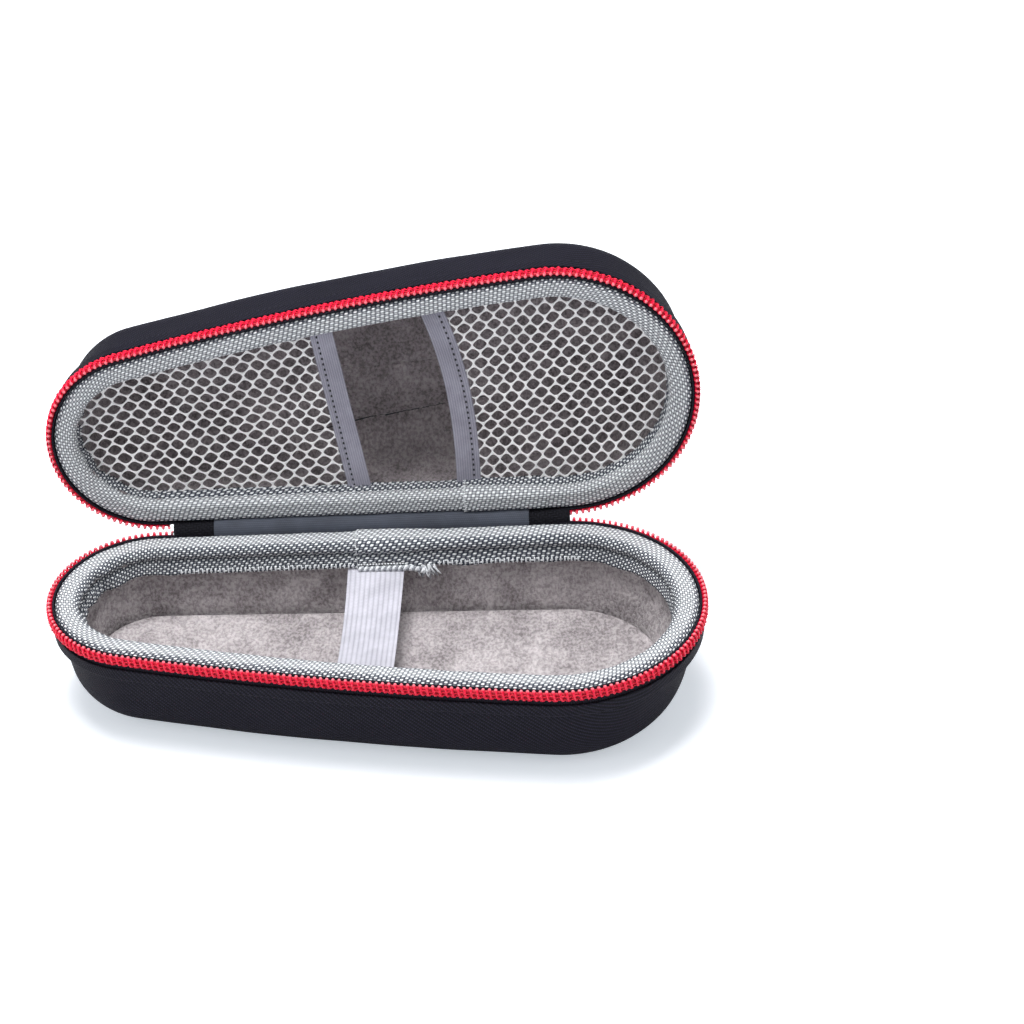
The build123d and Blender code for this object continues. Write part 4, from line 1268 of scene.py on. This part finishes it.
webbing_tones = ((0.0005, 0.0005, 0.001), (0.008, 0.008, 0.013))
webbing_cloth = cloth_finish("black_hinge_webbing", webbing_tones, 0.85, 2, 0.55, 0.25, 0.6)
# painted shade: the grey ribbon is drawn far darker than its yarn, standing in for the shade deep in the
# hinge gap
ribbon_tones_with_painted_shade = ((0.008, 0.010, 0.018), (0.052, 0.062, 0.088))
ribbon_cloth = elastic_finish("grey_hinge_ribbon", ribbon_tones_with_painted_shade, 0.62, 0.62, 0.08)
webbing = hinge_strip(
    "woven_hinge_webbing", WEB_OUT, WEB_DOWN, WEB_FROM, WEB_TO, 260, webbing_cloth, WEB_THICK
)
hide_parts("hinge_webbing")
ribbon_ends = (WEB_FROM + RIBBON_SHORT, WEB_TO - RIBBON_SHORT)
ribbon = hinge_strip(
    "grey_ribbon_over_hinge", RIBBON_OUT, RIBBON_DOWN, *ribbon_ends, 220, ribbon_cloth, RIBBON_THICK
)
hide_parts("hinge_inner_ribbon")

# ---------------------------------------------------------------------------
# Tail of the zip. Behind the hinge the two tapes run on together as a low tunnel
# sewn flat on the webbing; the chain in it ends at a crimped metal stop.
TAIL_LONG = 27.0
TAIL_LEVEL = BASE_DEPTH - 8.0
TAIL_RIGHT = WEB_FROM + 0.5 + TAIL_LONG
TUNNEL_WIDE = 4.6
TUNNEL_HIGH = 1.25
TUNNEL_THICK = 0.48
SLIT_FROM = 8.1
SLIT_WIDE = 2.2
TAIL_SEAM = 6.3
CHAIN_OUT = 2.1
CHAIN_FROM = 2.6
CHAIN_TO = TAIL_LONG - 2.4
TAIL_CORD_OUT = 3.08
TAIL_CORD_RADIUS = 0.8
MESH_END = 7.9
PARTED = 1.3


def behind_hinge(run, out, up):
    """Points on the tail: run is the way from its right end, out its distance from the
    tape plane's back and up its height over the chain's middle."""
    return np.stack(np.broadcast_arrays(TAIL_RIGHT - run, BACK_Y + out, TAIL_LEVEL + up), -1) * MM


def parting(run):
    """How far each coil has left the other: nothing up to MESH_END, then a smooth step."""
    k = np.clip((run - MESH_END) / 3.4, 0, 1)
    return PARTED * k * k * (3 - 2 * k)


tunnel_half = [
    (SLIT_WIDE / 2, TUNNEL_HIGH),
    (TUNNEL_WIDE, TUNNEL_HIGH, 0.6),
    (TUNNEL_WIDE + 1.2, 0.0, 0.5),
    (TUNNEL_WIDE + 2.6, 0.0),
]
tunnel = [(-wide, *rest) for wide, *rest in tunnel_half[::-1]] + tunnel_half
line, length = smooth_profile(tunnel, 0.3)
run = np.unique(np.append(np.linspace(0.0, TAIL_LONG, 70), SLIT_FROM))[:, None]
tail_out = 0.75 + line[:, 1] + 0.07 * waves(run, 2 * length, 81, 12.0, 2)
tail_up = line[:, 0] + 0.12 * waves(run, 0 * length, 82, 14.0, 2) * np.abs(line[:, 0]) / 7.0
tail_points = behind_hinge(run, tail_out, tail_up)
tail_tape = sheet_mesh("zip_tail_cloth", tail_points, run[:, 0], length, tape_cloth, "base")
shape = bmesh.new()
shape.from_mesh(tail_tape.data)
middles = [(face, face.calc_center_median() / MM) for face in shape.faces]
slit_faces = [
    face
    for face, middle in middles
    if abs(middle.z - TAIL_LEVEL) < SLIT_WIDE / 2 and middle.x < TAIL_RIGHT - SLIT_FROM
]
bmesh.ops.delete(shape, geom=slit_faces, context="FACES")
shape.to_mesh(tail_tape.data)
shape.free()
solid_sheet(tail_tape, TUNNEL_THICK)
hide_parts("zip_tail_tape")

tail_sides = (("upper", 1.0, CHAIN_FROM), ("lower", -1.0, CHAIN_FROM + PITCH / 2))
for side_name, sign, _ in tail_sides:
    centres = behind_hinge(np.arange(1.5, TAIL_LONG - 1.0, 2.0), 0.78, sign * TAIL_SEAM)
    outward = np.tile([0.0, 1.0, 0.0], (len(centres), 1))
    seam_name = "zip_tail_seam_" + side_name
    sewn = stitch_row(seam_name, centres, ways(centres), outward, 1.3, 0.17, pale_yarn, "base")
for side_name, sign, start in tail_sides:
    s, n, d, thick = coil_loops(start, int((CHAIN_TO - start) / PITCH) + 1)
    d = d + parting(s)
    chain = behind_hinge(s, CHAIN_OUT + n, sign * d)
    chain_side = np.tile([1.0, 0.0, 0.0], (len(s), 1))
    half_chain = tube("zip_tail_coil_" + side_name, chain, chain_side, thick, 6, d, nylon, "base")
    if side_name == "upper":
        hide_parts("zip_tail_chain")
    s = np.linspace(start - 0.6, CHAIN_TO, 60)
    cord_line = behind_hinge(s, TAIL_CORD_OUT, sign * (2.0 + parting(s)))
    cord_side = np.tile([0.0, 1.0, 0.0], (len(s), 1))
    cord_name = "zip_tail_cord_" + side_name
    chain_cord = tube(cord_name, cord_line, cord_side, TAIL_CORD_RADIUS, 8, s, red_cord, "base")

# ---------------------------------------------------------------------------
# Slider, crown, pull tab and end stop. Zinc castings and a stamped tab, all black
# lacquered; the lacquer wears to bright metal where they rub.
CASTING_EDGE = 0.12
lacquer, lacquer_tree, lacquer_shader = finish_of(
    "black_lacquered_zinc", Specular_IOR_Level=0.28, Coat_Weight=0.12, Coat_Roughness=0.2
)
lacquer_place = node(lacquer_tree, "TexCoord").outputs["Object"]
rounded = node(lacquer_tree, "Bevel", samples=6, Radius=0.25 * MM)
edge_turn = node(lacquer_tree, "VectorMath", operation="DOT_PRODUCT")
put(edge_turn.inputs[0], rounded.outputs[0])
put(edge_turn.inputs[1], node(lacquer_tree, "NewGeometry").outputs["Normal"])
rubbed = noise(lacquer_place, 900.0, 5.0, 0.65)
edge_rub = contrast(calc("SUBTRACT", 1.0, edge_turn.outputs["Value"]), 0.05, 0.30)
edge_rub = contrast(calc("MULTIPLY", edge_rub, rubbed), 0.45, 0.62)
scuff = contrast(noise(lacquer_place, 2200.0, 3.0, 0.6, (0.2, 1.0, 1.0)), 0.66, 0.76)
rub = calc("MAXIMUM", edge_rub, calc("MULTIPLY", scuff, 0.12))
fill(
    lacquer_shader,
    Base_Color=mixed(rub, (0.003, 0.003, 0.004), (0.30, 0.29, 0.28)),
    Metallic=rub,
    Roughness=calc("MULTIPLY_ADD", rubbed, 0.22, 0.22),
)
bump_on(lacquer_shader, rubbed, 0.15, 0.05)
for name in ("zip_slider_body", "slider_crown", "pull_tab", "zip_end_stop"):
    casting = frame["nodes"][name]
    refinish(casting, lacquer)
    soft_edge = casting.modifiers.new("soft_edge", "BEVEL")
    soft_edge.width = CASTING_EDGE * MM
    soft_edge.segments = 2
    soft_edge.limit_method = "ANGLE"
